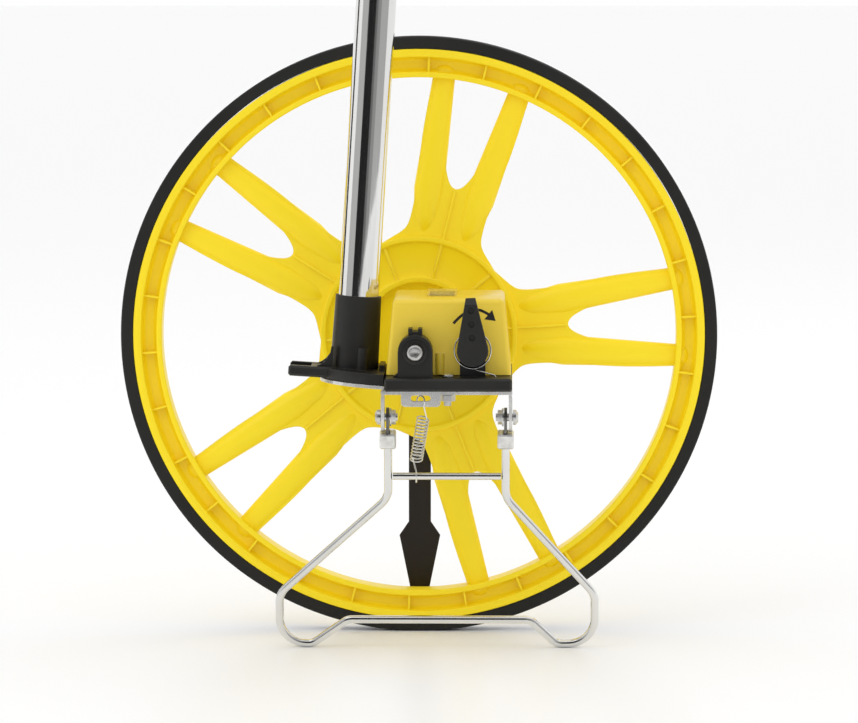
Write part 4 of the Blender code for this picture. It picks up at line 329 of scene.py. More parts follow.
def rounded_path(corners: Sequence[Vector], radii: Sequence[float], pieces: int) -> list[Vector]:
    """Run a path in space through corners, each rounded by its own radius.

    Args:
        corners: the path's ends and corners, in order.
        radii: the rounding of each corner between the ends.
        pieces: how many steps each rounded corner has.

    Returns:
        The points of the rounded path.
    """
    path = [Vector(corners[0])]
    for before, corner, after, radius in zip(corners, corners[1:], corners[2:], radii):
        back = (before - corner).normalized()
        onward = (after - corner).normalized()
        half = back.angle(onward) / 2
        reach = radius * cos(half) / sin(half)
        centre = corner + (back + onward).normalized() * radius / sin(half)
        start = corner + back * reach - centre
        end = corner + onward * reach - centre
        sweep = start.angle(end)
        for i in range(pieces + 1):
            share = i / pieces
            path.append(centre + (start * sin((1 - share) * sweep) + end * sin(share * sweep)) / sin(sweep))
    path.append(Vector(corners[-1]))
    return path


def through(points: Sequence[Pair], steps: int) -> list[Pair]:
    """Run a smooth line through flat points.

    Args:
        points: the places that the line goes through.
        steps: how many steps it takes from one place to the next.

    Returns:
        The points of the smooth line.
    """
    last = len(points) - 1
    line = []
    for i in range(last):
        around = [points[min(max(i + k, 0), last)] for k in (-1, 0, 1, 2)]
        a, b, c, d = (Vector(p) for p in around)
        for k in range(steps):
            t = k / steps
            place = 0.5 * (2 * b + (c - a) * t + (2 * a - 5 * b + 4 * c - d) * t ** 2
                           + (3 * b - a - 3 * c + d) * t ** 3)
            line.append((place.x, place.y))
    line.append(tuple(points[-1]))
    return line


# Node groups that several finishes share


class Effect(Enum):
    """The shared surface effects."""

    DRIFT = "colour_drift"
    GRAIN = "surface_grain"
    # painted highlight along edges
    RUBBED_EDGES = "rubbed_edges"
    HAIRLINES = "hairlines"


@dataclass
class Effects:
    """Builds each shared effect once and hands it out.

    Attributes:
        made: the node groups made so far.
    """

    made: dict[Effect, NodeTree] = field(default_factory=dict)

    def start(self, effect: Effect, inputs: Sequence[tuple[str, str, object]],
              outputs: Sequence[tuple[str, str]]) -> tuple[NodeTree, Node, Node]:
        """Open a new node group with named sockets.

        Args:
            effect: the effect that the group stands for.
            inputs: name, socket type and default of each input.
            outputs: name and socket type of each output.

        Returns:
            The group, its input node and its output node.
        """
        group = bpy.data.node_groups.new(effect.value, "ShaderNodeTree")
        for name, kind, value in inputs:
            socket = group.interface.new_socket(name, in_out="INPUT", socket_type=kind)
            if value is not None:
                socket.default_value = value
        for name, kind in outputs:
            group.interface.new_socket(name, in_out="OUTPUT", socket_type=kind)
        return group, group.nodes.new("NodeGroupInput"), group.nodes.new("NodeGroupOutput")

    def drift(self) -> NodeTree:
        """Slow change between two colours, with the mask that drives it."""
        group, entry, leave = self.start(
            Effect.DRIFT,
            [("Vector", "NodeSocketVector", None), ("Colour", "NodeSocketColor", (1, 1, 1, 1)),
             ("Second", "NodeSocketColor", (0, 0, 0, 1)), ("Scale", "NodeSocketFloat", 20.0),
             ("Amount", "NodeSocketFloat", 0.5)],
            [("Colour", "NodeSocketColor"), ("Mask", "NodeSocketFloat")])
        noise = group.nodes.new("ShaderNodeTexNoise")
        noise.inputs["Detail"].default_value = 5.0
        spread = group.nodes.new("ShaderNodeMapRange")
        spread.inputs["From Min"].default_value = 0.36
        spread.inputs["From Max"].default_value = 0.64
        strength = group.nodes.new("ShaderNodeMath")
        strength.operation = "MULTIPLY"
        mix = group.nodes.new("ShaderNodeMix")
        mix.data_type = "RGBA"
        link = group.links.new
        link(entry.outputs["Vector"], noise.inputs["Vector"])
        link(entry.outputs["Scale"], noise.inputs["Scale"])
        link(noise.outputs["Fac"], spread.inputs["Value"])
        link(spread.outputs["Result"], strength.inputs[0])
        link(entry.outputs["Amount"], strength.inputs[1])
        link(strength.outputs[0], mix.inputs[0])
        link(entry.outputs["Colour"], mix.inputs[6])
        link(entry.outputs["Second"], mix.inputs[7])
        link(mix.outputs[2], leave.inputs["Colour"])
        link(spread.outputs["Result"], leave.inputs["Mask"])
        return group

    def grain(self) -> NodeTree:
        """Fine moulded texture as a height."""
        group, entry, leave = self.start(
            Effect.GRAIN,
            [("Vector", "NodeSocketVector", None), ("Scale", "NodeSocketFloat", 1500.0),
             ("Waviness", "NodeSocketFloat", 0.3)],
            [("Height", "NodeSocketFloat")])
        fine = group.nodes.new("ShaderNodeTexNoise")
        fine.inputs["Detail"].default_value = 3.0
        slow = group.nodes.new("ShaderNodeTexNoise")
        slow.inputs["Scale"].default_value = 60.0
        slow.inputs["Detail"].default_value = 1.0
        mix = group.nodes.new("ShaderNodeMix")
        link = group.links.new
        link(entry.outputs["Vector"], fine.inputs["Vector"])
        link(entry.outputs["Scale"], fine.inputs["Scale"])
        link(entry.outputs["Vector"], slow.inputs["Vector"])
        link(entry.outputs["Waviness"], mix.inputs[0])
        link(fine.outputs["Fac"], mix.inputs[2])
        link(slow.outputs["Fac"], mix.inputs[3])
        link(mix.outputs[0], leave.inputs["Height"])
        return group

    def rubbed_edges(self) -> NodeTree:
        """Mask of a painted highlight along convex and concave edges, broken up by noise."""
        group, entry, leave = self.start(
            Effect.RUBBED_EDGES,
            [("Vector", "NodeSocketVector", None), ("Radius", "NodeSocketFloat", 0.0005)],
            [("Mask", "NodeSocketFloat")])
        soft = group.nodes.new("ShaderNodeBevel")
        soft.samples = 4
        hard = group.nodes.new("ShaderNodeNewGeometry")
        dot = group.nodes.new("ShaderNodeVectorMath")
        dot.operation = "DOT_PRODUCT"
        spread = group.nodes.new("ShaderNodeMapRange")
        spread.inputs["From Min"].default_value = 0.995
        spread.inputs["From Max"].default_value = 0.88
        noise = group.nodes.new("ShaderNodeTexNoise")
        noise.inputs["Scale"].default_value = 260.0
        noise.inputs["Detail"].default_value = 4.0
        broken = group.nodes.new("ShaderNodeMath")
        broken.operation = "MULTIPLY"
        link = group.links.new
        link(entry.outputs["Radius"], soft.inputs["Radius"])
        link(soft.outputs["Normal"], dot.inputs[0])
        link(hard.outputs["Normal"], dot.inputs[1])
        link(dot.outputs["Value"], spread.inputs["Value"])
        link(entry.outputs["Vector"], noise.inputs["Vector"])
        link(spread.outputs["Result"], broken.inputs[0])
        link(noise.outputs["Fac"], broken.inputs[1])
        link(broken.outputs[0], leave.inputs["Mask"])
        return group

    def hairlines(self) -> NodeTree:
        """Fine scratches along one direction, as a mask."""
        group, entry, leave = self.start(
            Effect.HAIRLINES,
            [("Vector", "NodeSocketVector", None), ("Scale", "NodeSocketFloat", 900.0)],
            [("Mask", "NodeSocketFloat")])
        noise = group.nodes.new("ShaderNodeTexNoise")
        noise.inputs["Detail"].default_value = 6.0
        noise.inputs["Roughness"].default_value = 0.7
        spread = group.nodes.new("ShaderNodeMapRange")
        spread.inputs["From Min"].default_value = 0.4
        spread.inputs["From Max"].default_value = 0.7
        link = group.links.new
        link(entry.outputs["Vector"], noise.inputs["Vector"])
        link(entry.outputs["Scale"], noise.inputs["Scale"])
        link(noise.outputs["Fac"], spread.inputs["Value"])
        link(spread.outputs["Result"], leave.inputs["Mask"])
        return group

    def get(self, effect: Effect) -> NodeTree:
        """The node group of an effect, made when it is first asked for."""
        if effect not in self.made:
            makers = {Effect.DRIFT: self.drift, Effect.GRAIN: self.grain,
                      Effect.RUBBED_EDGES: self.rubbed_edges, Effect.HAIRLINES: self.hairlines}
            self.made[effect] = makers[effect]()
        return self.made[effect]


EFFECTS = Effects()


# Finishes


@dataclass(frozen=True)
class Finish:
    """One material of the object.

    Attributes:
        name: the material's name.
        slot: the record's material slot; not used.
        colour: the main colour.
        second: the colour that the main one drifts to.
        edge_colour: the colour of the painted highlight along edges.
        edge_share: how strongly the painted highlight along edges shows.
        drift_scale: how fine the drift of colour is.
        drift: how strong the drift of colour is.
        roughness: least and greatest roughness.
        metallic: how metallic the surface is.
        specular: strength of the plain reflection.
        grain_scale: how fine the grain is.
        grain_depth: how deep the grain is, in metres.
        waviness: share of slow waves in the grain.
        stretch: scale of the hairlines along X, Y and Z.
        hairlines: how strongly hairlines roughen the surface.
        rounding: radius that softens sharp edges in the shading.
        transmission: how clear the material is.
    """

    name: str
    slot: str
    colour: Colour
    second: Colour
    edge_colour: Colour = (1.0, 1.0, 1.0)
    edge_share: float = 0.0
    drift_scale: float = 14.0
    drift: float = 0.5
    roughness: Pair = (0.3, 0.45)
    metallic: float = 0.0
    specular: float = 0.5
    grain_scale: float = 1800.0
    grain_depth: float = 0.00002
    waviness: float = 0.2
    stretch: Colour = (1.0, 1.0, 1.0)
    hairlines: float = 0.0
    rounding: float = 0.0003
    transmission: float = 0.0

    def add_effect(self, tree: NodeTree, effect: Effect, vector: NodeSocket,
                   values: dict[str, object]) -> Node:
        """Place a shared effect in the material.

        Args:
            tree: the material's node tree.
            effect: the effect to place.
            vector: the coordinates it reads.
            values: its own input values by name.

        Returns:
            The group node.
        """
        node = tree.nodes.new("ShaderNodeGroup")
        node.node_tree = EFFECTS.get(effect)
        tree.links.new(vector, node.inputs["Vector"])
        for name, value in values.items():
            node.inputs[name].default_value = value
        return node

    def build(self) -> Material:
        """Make the material, or hand out the one already made.

        Returns:
            The material with its node tree.
        """
        if self.name in bpy.data.materials:
            return bpy.data.materials[self.name]
        made = bpy.data.materials.new(self.name)
        made.use_nodes = True
        tree = made.node_tree
        link = tree.links.new
        shader = tree.nodes["Principled BSDF"]
        places = tree.nodes.new("ShaderNodeTexCoord").outputs["Object"]
        stretch = tree.nodes.new("ShaderNodeMapping")
        stretch.inputs["Scale"].default_value = self.stretch
        link(places, stretch.inputs["Vector"])
        drift = self.add_effect(tree, Effect.DRIFT, places, {
            "Colour": (*self.colour, 1), "Second": (*self.second, 1), "Scale": self.drift_scale,
            "Amount": self.drift})
        colour = drift.outputs["Colour"]
        # Painted highlight: the colour turns lighter along edges, broken up by noise.
        if self.edge_share:
            edges = self.add_effect(tree, Effect.RUBBED_EDGES, places, {"Radius": 1.6 * self.rounding})
            share = tree.nodes.new("ShaderNodeMath")
            share.operation = "MULTIPLY"
            share.inputs[1].default_value = self.edge_share
            rub = tree.nodes.new("ShaderNodeMix")
            rub.data_type = "RGBA"
            rub.inputs[7].default_value = (*self.edge_colour, 1)
            link(edges.outputs["Mask"], share.inputs[0])
            link(share.outputs[0], rub.inputs[0])
            link(colour, rub.inputs[6])
            colour = rub.outputs[2]
        link(colour, shader.inputs["Base Color"])
        gloss = tree.nodes.new("ShaderNodeMapRange")
        gloss.inputs["To Min"].default_value = self.roughness[0]
        gloss.inputs["To Max"].default_value = self.roughness[1]
        link(drift.outputs["Mask"], gloss.inputs["Value"])
        roughness = gloss.outputs["Result"]
        grain = self.add_effect(tree, Effect.GRAIN, stretch.outputs["Vector"], {
            "Scale": self.grain_scale, "Waviness": self.waviness})
        if self.hairlines:
            lines = self.add_effect(tree, Effect.HAIRLINES, stretch.outputs["Vector"], {"Scale": 900.0})
            rougher = tree.nodes.new("ShaderNodeMath")
            rougher.operation = "MULTIPLY_ADD"
            rougher.inputs[1].default_value = self.hairlines
            link(lines.outputs["Mask"], rougher.inputs[0])
            link(roughness, rougher.inputs[2])
            roughness = rougher.outputs[0]
        link(roughness, shader.inputs["Roughness"])
        soften = tree.nodes.new("ShaderNodeBevel")
        soften.samples = 4
        soften.inputs["Radius"].default_value = self.rounding
        bump = tree.nodes.new("ShaderNodeBump")
        bump.inputs["Distance"].default_value = self.grain_depth
        link(grain.outputs["Height"], bump.inputs["Height"])
        link(soften.outputs["Normal"], bump.inputs["Normal"])
        link(bump.outputs["Normal"], shader.inputs["Normal"])
        shader.inputs["Metallic"].default_value = self.metallic
        shader.inputs["Specular IOR Level"].default_value = self.specular
        shader.inputs["Transmission Weight"].default_value = self.transmission
        return made


WHEEL_YELLOW = Finish(
    "wheel_yellow_moulding", "wheel_yellow", (1.0, 0.775, 0.012), (1.0, 0.735, 0.008),
    edge_colour=(1.0, 0.9, 0.16), edge_share=0.25, drift_scale=9.0, drift=0.6, roughness=(0.34, 0.46),
    specular=0.35, grain_scale=1300.0, grain_depth=0.000018, rounding=0.0006)
COVER_YELLOW = Finish(
    "cover_yellow_moulding", "cover_yellow", (0.85, 0.62, 0.045), (0.8, 0.575, 0.035),
    edge_colour=(1.0, 0.88, 0.3), edge_share=0.55, drift_scale=22.0, drift=0.5, roughness=(0.3, 0.42),
    specular=0.5, grain_scale=1500.0, grain_depth=0.000014, rounding=0.0007)
BLACK_MOULDING = Finish(
    "black_moulding", "black_plastic", (0.0105, 0.010, 0.0085), (0.016, 0.0155, 0.014),
    edge_colour=(0.09, 0.09, 0.085), edge_share=0.55, drift_scale=40.0, drift=0.7,
    roughness=(0.36, 0.52), specular=0.4, grain_scale=2400.0, grain_depth=0.00003, rounding=0.0004)
TYRE_RUBBER = Finish(
    "tyre_rubber", "rubber", (0.0135, 0.0135, 0.012), (0.021, 0.0205, 0.018),
    edge_colour=(0.05, 0.05, 0.048), edge_share=0.5, drift_scale=30.0, drift=0.8, roughness=(0.62, 0.8),
    specular=0.3, grain_scale=1100.0, grain_depth=0.00008, waviness=0.1, rounding=0.0004)
CHROME_TUBE = Finish(
    "chromed_tube", "chrome", (0.80, 0.80, 0.785), (0.74, 0.735, 0.72), drift_scale=6.0,
    roughness=(0.035, 0.09), metallic=1.0, grain_scale=500.0, grain_depth=0.0000006,
    stretch=(1.0, 1.0, 0.03), hairlines=0.05, rounding=0.0003)
CHROME_WIRE = Finish(
    "bright_wire", "chrome", (0.78, 0.78, 0.765), (0.70, 0.70, 0.685), drift_scale=60.0,
    roughness=(0.07, 0.16), metallic=1.0, grain_scale=900.0, grain_depth=0.000004, hairlines=0.06,
    rounding=0.0001)
ZINC = Finish(
    "zinc_plating", "zinc", (0.74, 0.735, 0.715), (0.60, 0.60, 0.59), edge_colour=(0.92, 0.92, 0.9),
    edge_share=0.7, drift_scale=90.0, drift=0.6, roughness=(0.16, 0.3), metallic=1.0, grain_scale=700.0,
    grain_depth=0.00001, hairlines=0.1, rounding=0.0003)
CAST_ZINC = Finish(
    "crimped_zinc", "zinc", (0.80, 0.80, 0.78), (0.62, 0.62, 0.6), edge_colour=(0.95, 0.95, 0.93),
    edge_share=0.7, drift_scale=300.0, drift=0.7, roughness=(0.28, 0.45), metallic=1.0,
    grain_scale=420.0, grain_depth=0.00012, waviness=0.0, rounding=0.0005)
STEEL = Finish(
    "bright_steel", "steel", (0.62, 0.61, 0.59), (0.48, 0.475, 0.46), edge_colour=(0.85, 0.85, 0.83),
    edge_share=0.6, drift_scale=120.0, drift=0.6, roughness=(0.2, 0.34), metallic=1.0,
    grain_scale=900.0, grain_depth=0.000012, hairlines=0.12, rounding=0.0002)
# Zinc painted dark as shade, with a painted highlight along its edges.
ZINC_IN_PAINTED_SHADE = Finish(
    "zinc_in_painted_shade", "zinc", (0.20, 0.195, 0.185), (0.12, 0.118, 0.11), edge_colour=(0.75, 0.75, 0.73),
    edge_share=0.8, drift_scale=160.0, drift=0.7, roughness=(0.25, 0.4), metallic=1.0,
    grain_scale=900.0, grain_depth=0.00002, rounding=0.0002)
POINTER_PAINT = Finish(
    "pointer_paint", "pointer_paint", (0.020, 0.0155, 0.012), (0.028, 0.022, 0.017),
    edge_colour=(0.14, 0.12, 0.10), edge_share=0.4, drift_scale=50.0, drift=0.7, roughness=(0.38, 0.55),
    specular=0.35, grain_scale=1500.0, grain_depth=0.00002, rounding=0.0002)
WHITE_MOULDING = Finish(
    "white_moulding", "white_plastic", (0.78, 0.77, 0.73), (0.7, 0.69, 0.65),
    edge_colour=(0.9, 0.9, 0.88), edge_share=0.3, drift_scale=120.0, roughness=(0.35, 0.5),
    grain_depth=0.00001, rounding=0.0002)
CLEAR_LENS = Finish(
    "clear_lens", "clear_lens", (0.98, 0.96, 0.88), (0.96, 0.93, 0.82), drift_scale=60.0,
    roughness=(0.02, 0.06), specular=0.5, grain_scale=300.0, grain_depth=0.000002, transmission=0.92,
    rounding=0.0002)
PRINT_BLACK = Finish(
    "printed_black", "black_plastic", (0.012, 0.011, 0.010), (0.02, 0.019, 0.017), drift_scale=400.0,
    drift=0.7, roughness=(0.3, 0.45), grain_scale=3000.0, grain_depth=0.000006, rounding=0.00002)


def dress(piece: Object, finish: Finish, body: str, *nodes: str) -> Object:
    """Give a new piece its material and body.

    Args:
        piece: the finished piece.
        finish: its material.
        body: the CAD body that it moves with.
        nodes: the CAD nodes that it stands for.

    Returns:
        The same piece.
    """
    piece.data.materials.clear()
    piece.data.materials.append(finish.build())
    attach(piece, body)
    if nodes:
        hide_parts(*nodes)
    log.info("piece %s on %s: %d faces", piece.name, body, len(piece.data.polygons))
    return piece


def paint(finish: Finish, *nodes: str) -> None:
    """Give CAD nodes a material and leave their shape as it is."""
    for node in nodes:
        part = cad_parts[node]
        part.data.materials.clear()
        part.data.materials.append(finish.build())
        log.info("node %s painted %s", node, finish.name)


def cross_recess(piece: Object, centre: Vector, outward: Vector, reach: float, depth: float) -> Object:
    """Cut a cross-head recess into a screw's crown.

    Args:
        piece: the screw.
        centre: the middle of the crown's face.
        outward: the way the crown faces.
        reach: how long each arm of the cross is.
        depth: how deep the recess goes.

    Returns:
        The same screw.
    """
    turn = Vector((0, 0, 1)).rotation_difference(outward).to_matrix().to_4x4()
    placing = Matrix.Translation(centre) @ turn @ Matrix.Rotation(radians(28), 4, "Z")
    for i in (0, 1):
        arm = block("cross_arm", (-reach, -reach / 5, -depth), (reach, reach / 5, depth))
        arm.data.transform(placing @ Matrix.Rotation(i * pi / 2, 4, "Z"))
        carved(piece, arm)
    return piece


# Sub-assemblies


@dataclass
class Wheel:
    """The moulded wheel, its tyre and what turns on its axle.

    Attributes:
        steps: how many steps a full turn of the rim has.
        tyre_radius: outer radius of the tyre.
        tyre_thickness: thickness of the rubber.
        tyre_width: width of the rubber.
        rim_radius: outer radius of the rim.
        rim_width: width of the rim's outer lip.
        lip: height of the outer lip.
        rim_depth: radial depth of the rim.
        inner_lip: height of the inner lip.
        inner_width: width of the inner lip.
        web: thickness of the rim's web.
        ribs: number of ribs across the channel.
        groups: number of spoke pairs.
        phase: direction of the first spoke pair.
        spoke_edge: half a spoke pair's outer edge, along and across, in shares of the rim's inner radius.
        opening: half of the opening between paired spokes, in the same shares.
        rib_thickness: thickness of the ribs across the channel.
        rib_width: width of the ribs across the channel.
        hub_rib_thickness: thickness of the hub's ribs.
        hub_rib_width: width of the hub's ribs.
        hub_rib_reach: how far the longer hub ribs run out, in the same shares.
        spoke_end: where the spokes end inside the rim, in the same shares.
        opening_end: where the openings end inside the rim, in the same shares.
        hole_share: the plate's middle hole, in the same shares.
        bar_start: where a spoke's bar starts, in the same shares.
        bar_end: where a spoke's bar ends, in the same shares.
        plate: thickness of the plate of the spokes.
        bar_width: width of the bars.
        bar_depth: depth of the bars along the axle.
        ring_radius: outer radius of the hub's outer ring.
        ring_wall: wall of that ring.
        ring_width: width of that ring.
        hub_plate: thickness of the plate between the rings.
        recess_radius: outer radius of the hub's inner ring.
        recess_wall: wall of the inner ring.
        recess_width: width of the inner ring.
        recess_plate: thickness of the plate inside the inner ring.
        boss_radius: radius of the boss.
        boss_width: width of the boss.
        bore: radius of the hole for the axle.
    """

    steps: int = 240
    tyre_radius: float = 0.15915
    tyre_thickness: float = 0.00635
    tyre_width: float = 0.0190
    rim_radius: float = 0.1525
    rim_width: float = 0.0200
    lip: float = 0.0042
    rim_depth: float = 0.0151
    inner_lip: float = 0.0029
    inner_width: float = 0.0170
    web: float = 0.0040
    ribs: int = 30
    groups: int = 5
    phase: float = radians(3.9)
    spoke_edge: tuple[Pair, ...] = (
        (0.959, 0.189), (0.860, 0.184), (0.767, 0.177), (0.690, 0.168), (0.609, 0.157), (0.520, 0.147),
        (0.440, 0.144), (0.395, 0.150), (0.366, 0.169))
    opening: tuple[Pair, ...] = (
        (0.975, 0.109), (0.918, 0.104), (0.830, 0.096), (0.734, 0.080), (0.665, 0.060), (0.620, 0.041),
        (0.592, 0.022), (0.5815, 0.0))
    rib_thickness: float = 0.0012
    rib_width: float = 0.0150
    hub_rib_thickness: float = 0.0014
    hub_rib_width: float = 0.0080
    hub_rib_reach: float = 0.575
    spoke_end: float = 1.013
    opening_end: float = 1.007
    hole_share: float = 0.27
    bar_start: Pair = (0.370, 0.079)
    bar_end: Pair = (1.044, 0.155)
    plate: float = 0.0050
    bar_width: float = 0.0088
    bar_depth: float = 0.0130
    ring_radius: float = 0.0526
    ring_wall: float = 0.0027
    ring_width: float = 0.0100
    hub_plate: float = 0.0056
    recess_radius: float = 0.0310
    recess_wall: float = 0.0030
    recess_width: float = 0.0120
    recess_plate: float = 0.0036
    boss_radius: float = 0.0110
    boss_width: float = 0.0300
    bore: float = 0.0043

    def inner_radius(self) -> float:
        """Inner radius of the rim."""
        return self.rim_radius - self.rim_depth

    def in_group(self, along: float, across: float, group: int) -> Pair:
        """A point of a spoke pair, given along and across its middle line."""
        angle = self.phase + 2 * pi * group / self.groups
        return along * cos(angle) - across * sin(angle), along * sin(angle) + across * cos(angle)

    def make_tyre(self) -> None:
        """Turn the rubber band, with a fine groove beside each shoulder."""
        half = self.tyre_width / 2
        inner = self.rim_radius + 0.0003
        top = self.tyre_radius
        side = [(inner, -half), (top - 0.0013, -half), (top - 0.0005, -half + 0.0003), (top, -half + 0.0011),
                (top, -half + 0.0026), (top - 0.0004, -half + 0.0029), (top, -half + 0.0032), (top, -0.0004),
                (top - 0.00015, 0)]
        profile = side + [(r, -a) for r, a in reversed(side[:-1])]
        tyre = spun("tyre_band", profile, self.steps, WHEEL_FRAME)
        dress(smoothed(tyre, 32), TYRE_RUBBER, "wheel", "tyre")

    def make_rim(self) -> Object:
        """Turn the channelled rim."""
        lip = self.rim_radius - self.lip
        inner = self.inner_radius()
        inner_lip = inner + self.inner_lip
        half, inner_half, web = self.rim_width / 2, self.inner_width / 2, self.web / 2
        side = [(self.rim_radius, half), (lip, half), (lip - 0.0006, web + 0.0012), (lip - 0.0018, web),
                (inner_lip + 0.0018, web), (inner_lip + 0.0006, web + 0.0012), (inner_lip, inner_half),
                (inner, inner_half)]
        profile = side + [(r, -a) for r, a in reversed(side)]
        rim = spun("wheel_rim", profile, self.steps, WHEEL_FRAME)
        return smoothed(bevelled(rim, 0.0006, 3, 40), 40)

    def radial_rib(self, name: str, inner: float, outer: float, thickness: float, width: float,
                   angle: float) -> Object:
        """Make a thin rib that runs outwards on the wheel."""
        rib = block(name, (inner, -thickness / 2, -width / 2), (outer, thickness / 2, width / 2))
        rib.data.transform(WHEEL_FRAME @ Matrix.Rotation(angle, 4, "Z"))
        return rib

    def make_ribs(self) -> Object:
        """Space the short ribs round the rim's channel."""
        lip = self.rim_radius - self.lip / 2
        inner = self.inner_radius() + self.inner_lip / 2
        ribs = [self.radial_rib(f"rim_rib_{i}", inner, lip, self.rib_thickness, self.rib_width,
                                self.phase + i * 2 * pi / self.ribs)
                for i in range(self.ribs)]
        return smoothed(bevelled(joined("wheel_rim_ribs", ribs), 0.0003))

    def make_spider(self) -> Object:
        """Cut the plate of the spokes, with smooth openings between paired spokes."""
        radius = self.inner_radius()
        outer: list[Pair] = []
        openings = []
        for group in range(self.groups):
            edge = through([(a * radius, c * radius) for a, c in self.spoke_edge], 5)
            rim_end = self.spoke_end * radius
            half = asin(edge[0][1] / rim_end)
            outer += [self.in_group(a, -c, group) for a, c in reversed(edge)]
            outer += [self.in_group(a, c, group) for a, c in arc((0, 0), rim_end, -half, half, 24)]
            outer += [self.in_group(a, c, group) for a, c in edge]
            valley = pi / self.groups
            outer += [self.in_group(self.ring_radius * cos(valley), self.ring_radius * sin(valley), group)]
            side = [(a * radius, c * radius) for a, c in self.opening]
            mirrored = side + [(a, -c) for a, c in reversed(side[:-1])]
            line = through(mirrored, 5)
            end = self.opening_end * radius
            end_half = asin(line[0][1] / end)
            closing = arc((0, 0), end, -end_half, end_half, 16)
            openings.append([self.in_group(a, c, group) for a, c in line + closing])
        hole_steps = 120
        hole_end = 2 * pi * (hole_steps - 1) / hole_steps
        hole = arc((0, 0), self.hole_share * radius, 0, hole_end, hole_steps - 1)
        spider = cut_sheet("wheel_spider", [outer, *openings, hole], self.plate, WHEEL_FRAME)
        return smoothed(spider, 40)

    def make_bars(self) -> Object:
        """Turn the ten rounded bars that stiffen the spokes."""
        radius = self.inner_radius()
        bars = []
        for group in range(self.groups):
            for side in (-1, 1):
                start = self.in_group(self.bar_start[0] * radius, side * self.bar_start[1] * radius, group)
                end = self.in_group(self.bar_end[0] * radius, side * self.bar_end[1] * radius, group)
                length = hypot(end[0] - start[0], end[1] - start[1])
                root, tip = 0.62 * self.bar_width, 0.45 * self.bar_width
                nose = [(tip * cos(a), length - tip + tip * sin(a)) for a in (0.0, 0.4, 0.8, 1.15)]
                foot = [(0, 0), (0.35 * root, 0.001), (0.75 * root, 0.010), (root, 0.026)]
                profile = [*foot, *nose, (0, length)]
                bar = spun(f"spoke_bar_{group}_{side}", profile, 28, Matrix.Identity(4))
                heading = atan2(end[1] - start[1], end[0] - start[0])
                flatten = Matrix.Diagonal((1.0, self.bar_depth / self.bar_width, 1.0, 1.0))
                lay = Matrix.Rotation(heading, 4, "Z") @ Matrix.Rotation(pi / 2, 4, "Y") @ Matrix.Rotation(
                    pi / 2, 4, "Z")
                turn = Matrix.Rotation(pi / 2, 4, "Z")
                bar.data.transform(WHEEL_FRAME @ Matrix.Translation((*start, 0)) @ lay @ turn @ flatten)
                bars.append(tidy_mesh(bar))
        return smoothed(joined("wheel_spoke_bars", bars), 60)

    def make_hub(self) -> Object:
        """Turn the hub with its two rings and boss, and stand its ribs on it."""
        ring_inner = self.ring_radius - self.ring_wall
        recess_inner = self.recess_radius - self.recess_wall
        boss = self.boss_width / 2
        half = [(self.ring_radius, self.ring_width / 2), (ring_inner, self.ring_width / 2),
                (ring_inner - 0.0006, self.hub_plate / 2 + 0.0006),
                (ring_inner - 0.0015, self.hub_plate / 2),
                (self.recess_radius, self.hub_plate / 2), (self.recess_radius, self.recess_width / 2),
                (recess_inner, self.recess_width / 2),
                (recess_inner - 0.0006, self.recess_plate / 2 + 0.0008),
                (recess_inner - 0.0018, self.recess_plate / 2), (self.boss_radius, self.recess_plate / 2),
                (self.boss_radius, boss), (self.bore, boss)]
        profile = half + [(r, -a) for r, a in reversed(half)]
        hub = bevelled(spun("wheel_hub", profile, 120, WHEEL_FRAME), 0.0005, 3, 40)
        ribs = []
        for i in range(2 * self.groups):
            long_rib = i % 2 == 0
            reach = self.hub_rib_reach * self.inner_radius() if long_rib else ring_inner + self.ring_wall / 2
            ribs.append(self.radial_rib(
                f"hub_rib_{i}", self.recess_radius - self.recess_wall / 2, reach, self.hub_rib_thickness,
                self.hub_rib_width, self.phase + i * pi / self.groups))
        web = bevelled(joined("hub_ribs", ribs), 0.00035)
        return smoothed(joined("wheel_hub", [hub, web]), 40)

    def build(self) -> None:
        """Make the wheel's pieces and dress the steel on its axle."""
        self.make_tyre()
        pieces = (self.make_rim(), self.make_ribs(), self.make_spider(), self.make_bars(), self.make_hub())
        for piece in pieces:
            dress(piece, WHEEL_YELLOW, "wheel", "wheel")
        dress(refined("axle", "axle_rod"), ZINC, "wheel", "axle")
        dress(refined("axle_end_screw", "axle_socket_screw", 0.00012), STEEL, "wheel", "axle_end_screw")
        paint(ZINC, "wheel_nut", "pointer_nut", "pointer_washer")
        paint(WHITE_MOULDING, "drive_gear")
        dress(bevelled(refined("pointer", "start_pointer"), 0.0002, 2), POINTER_PAINT, "pointer", "pointer")


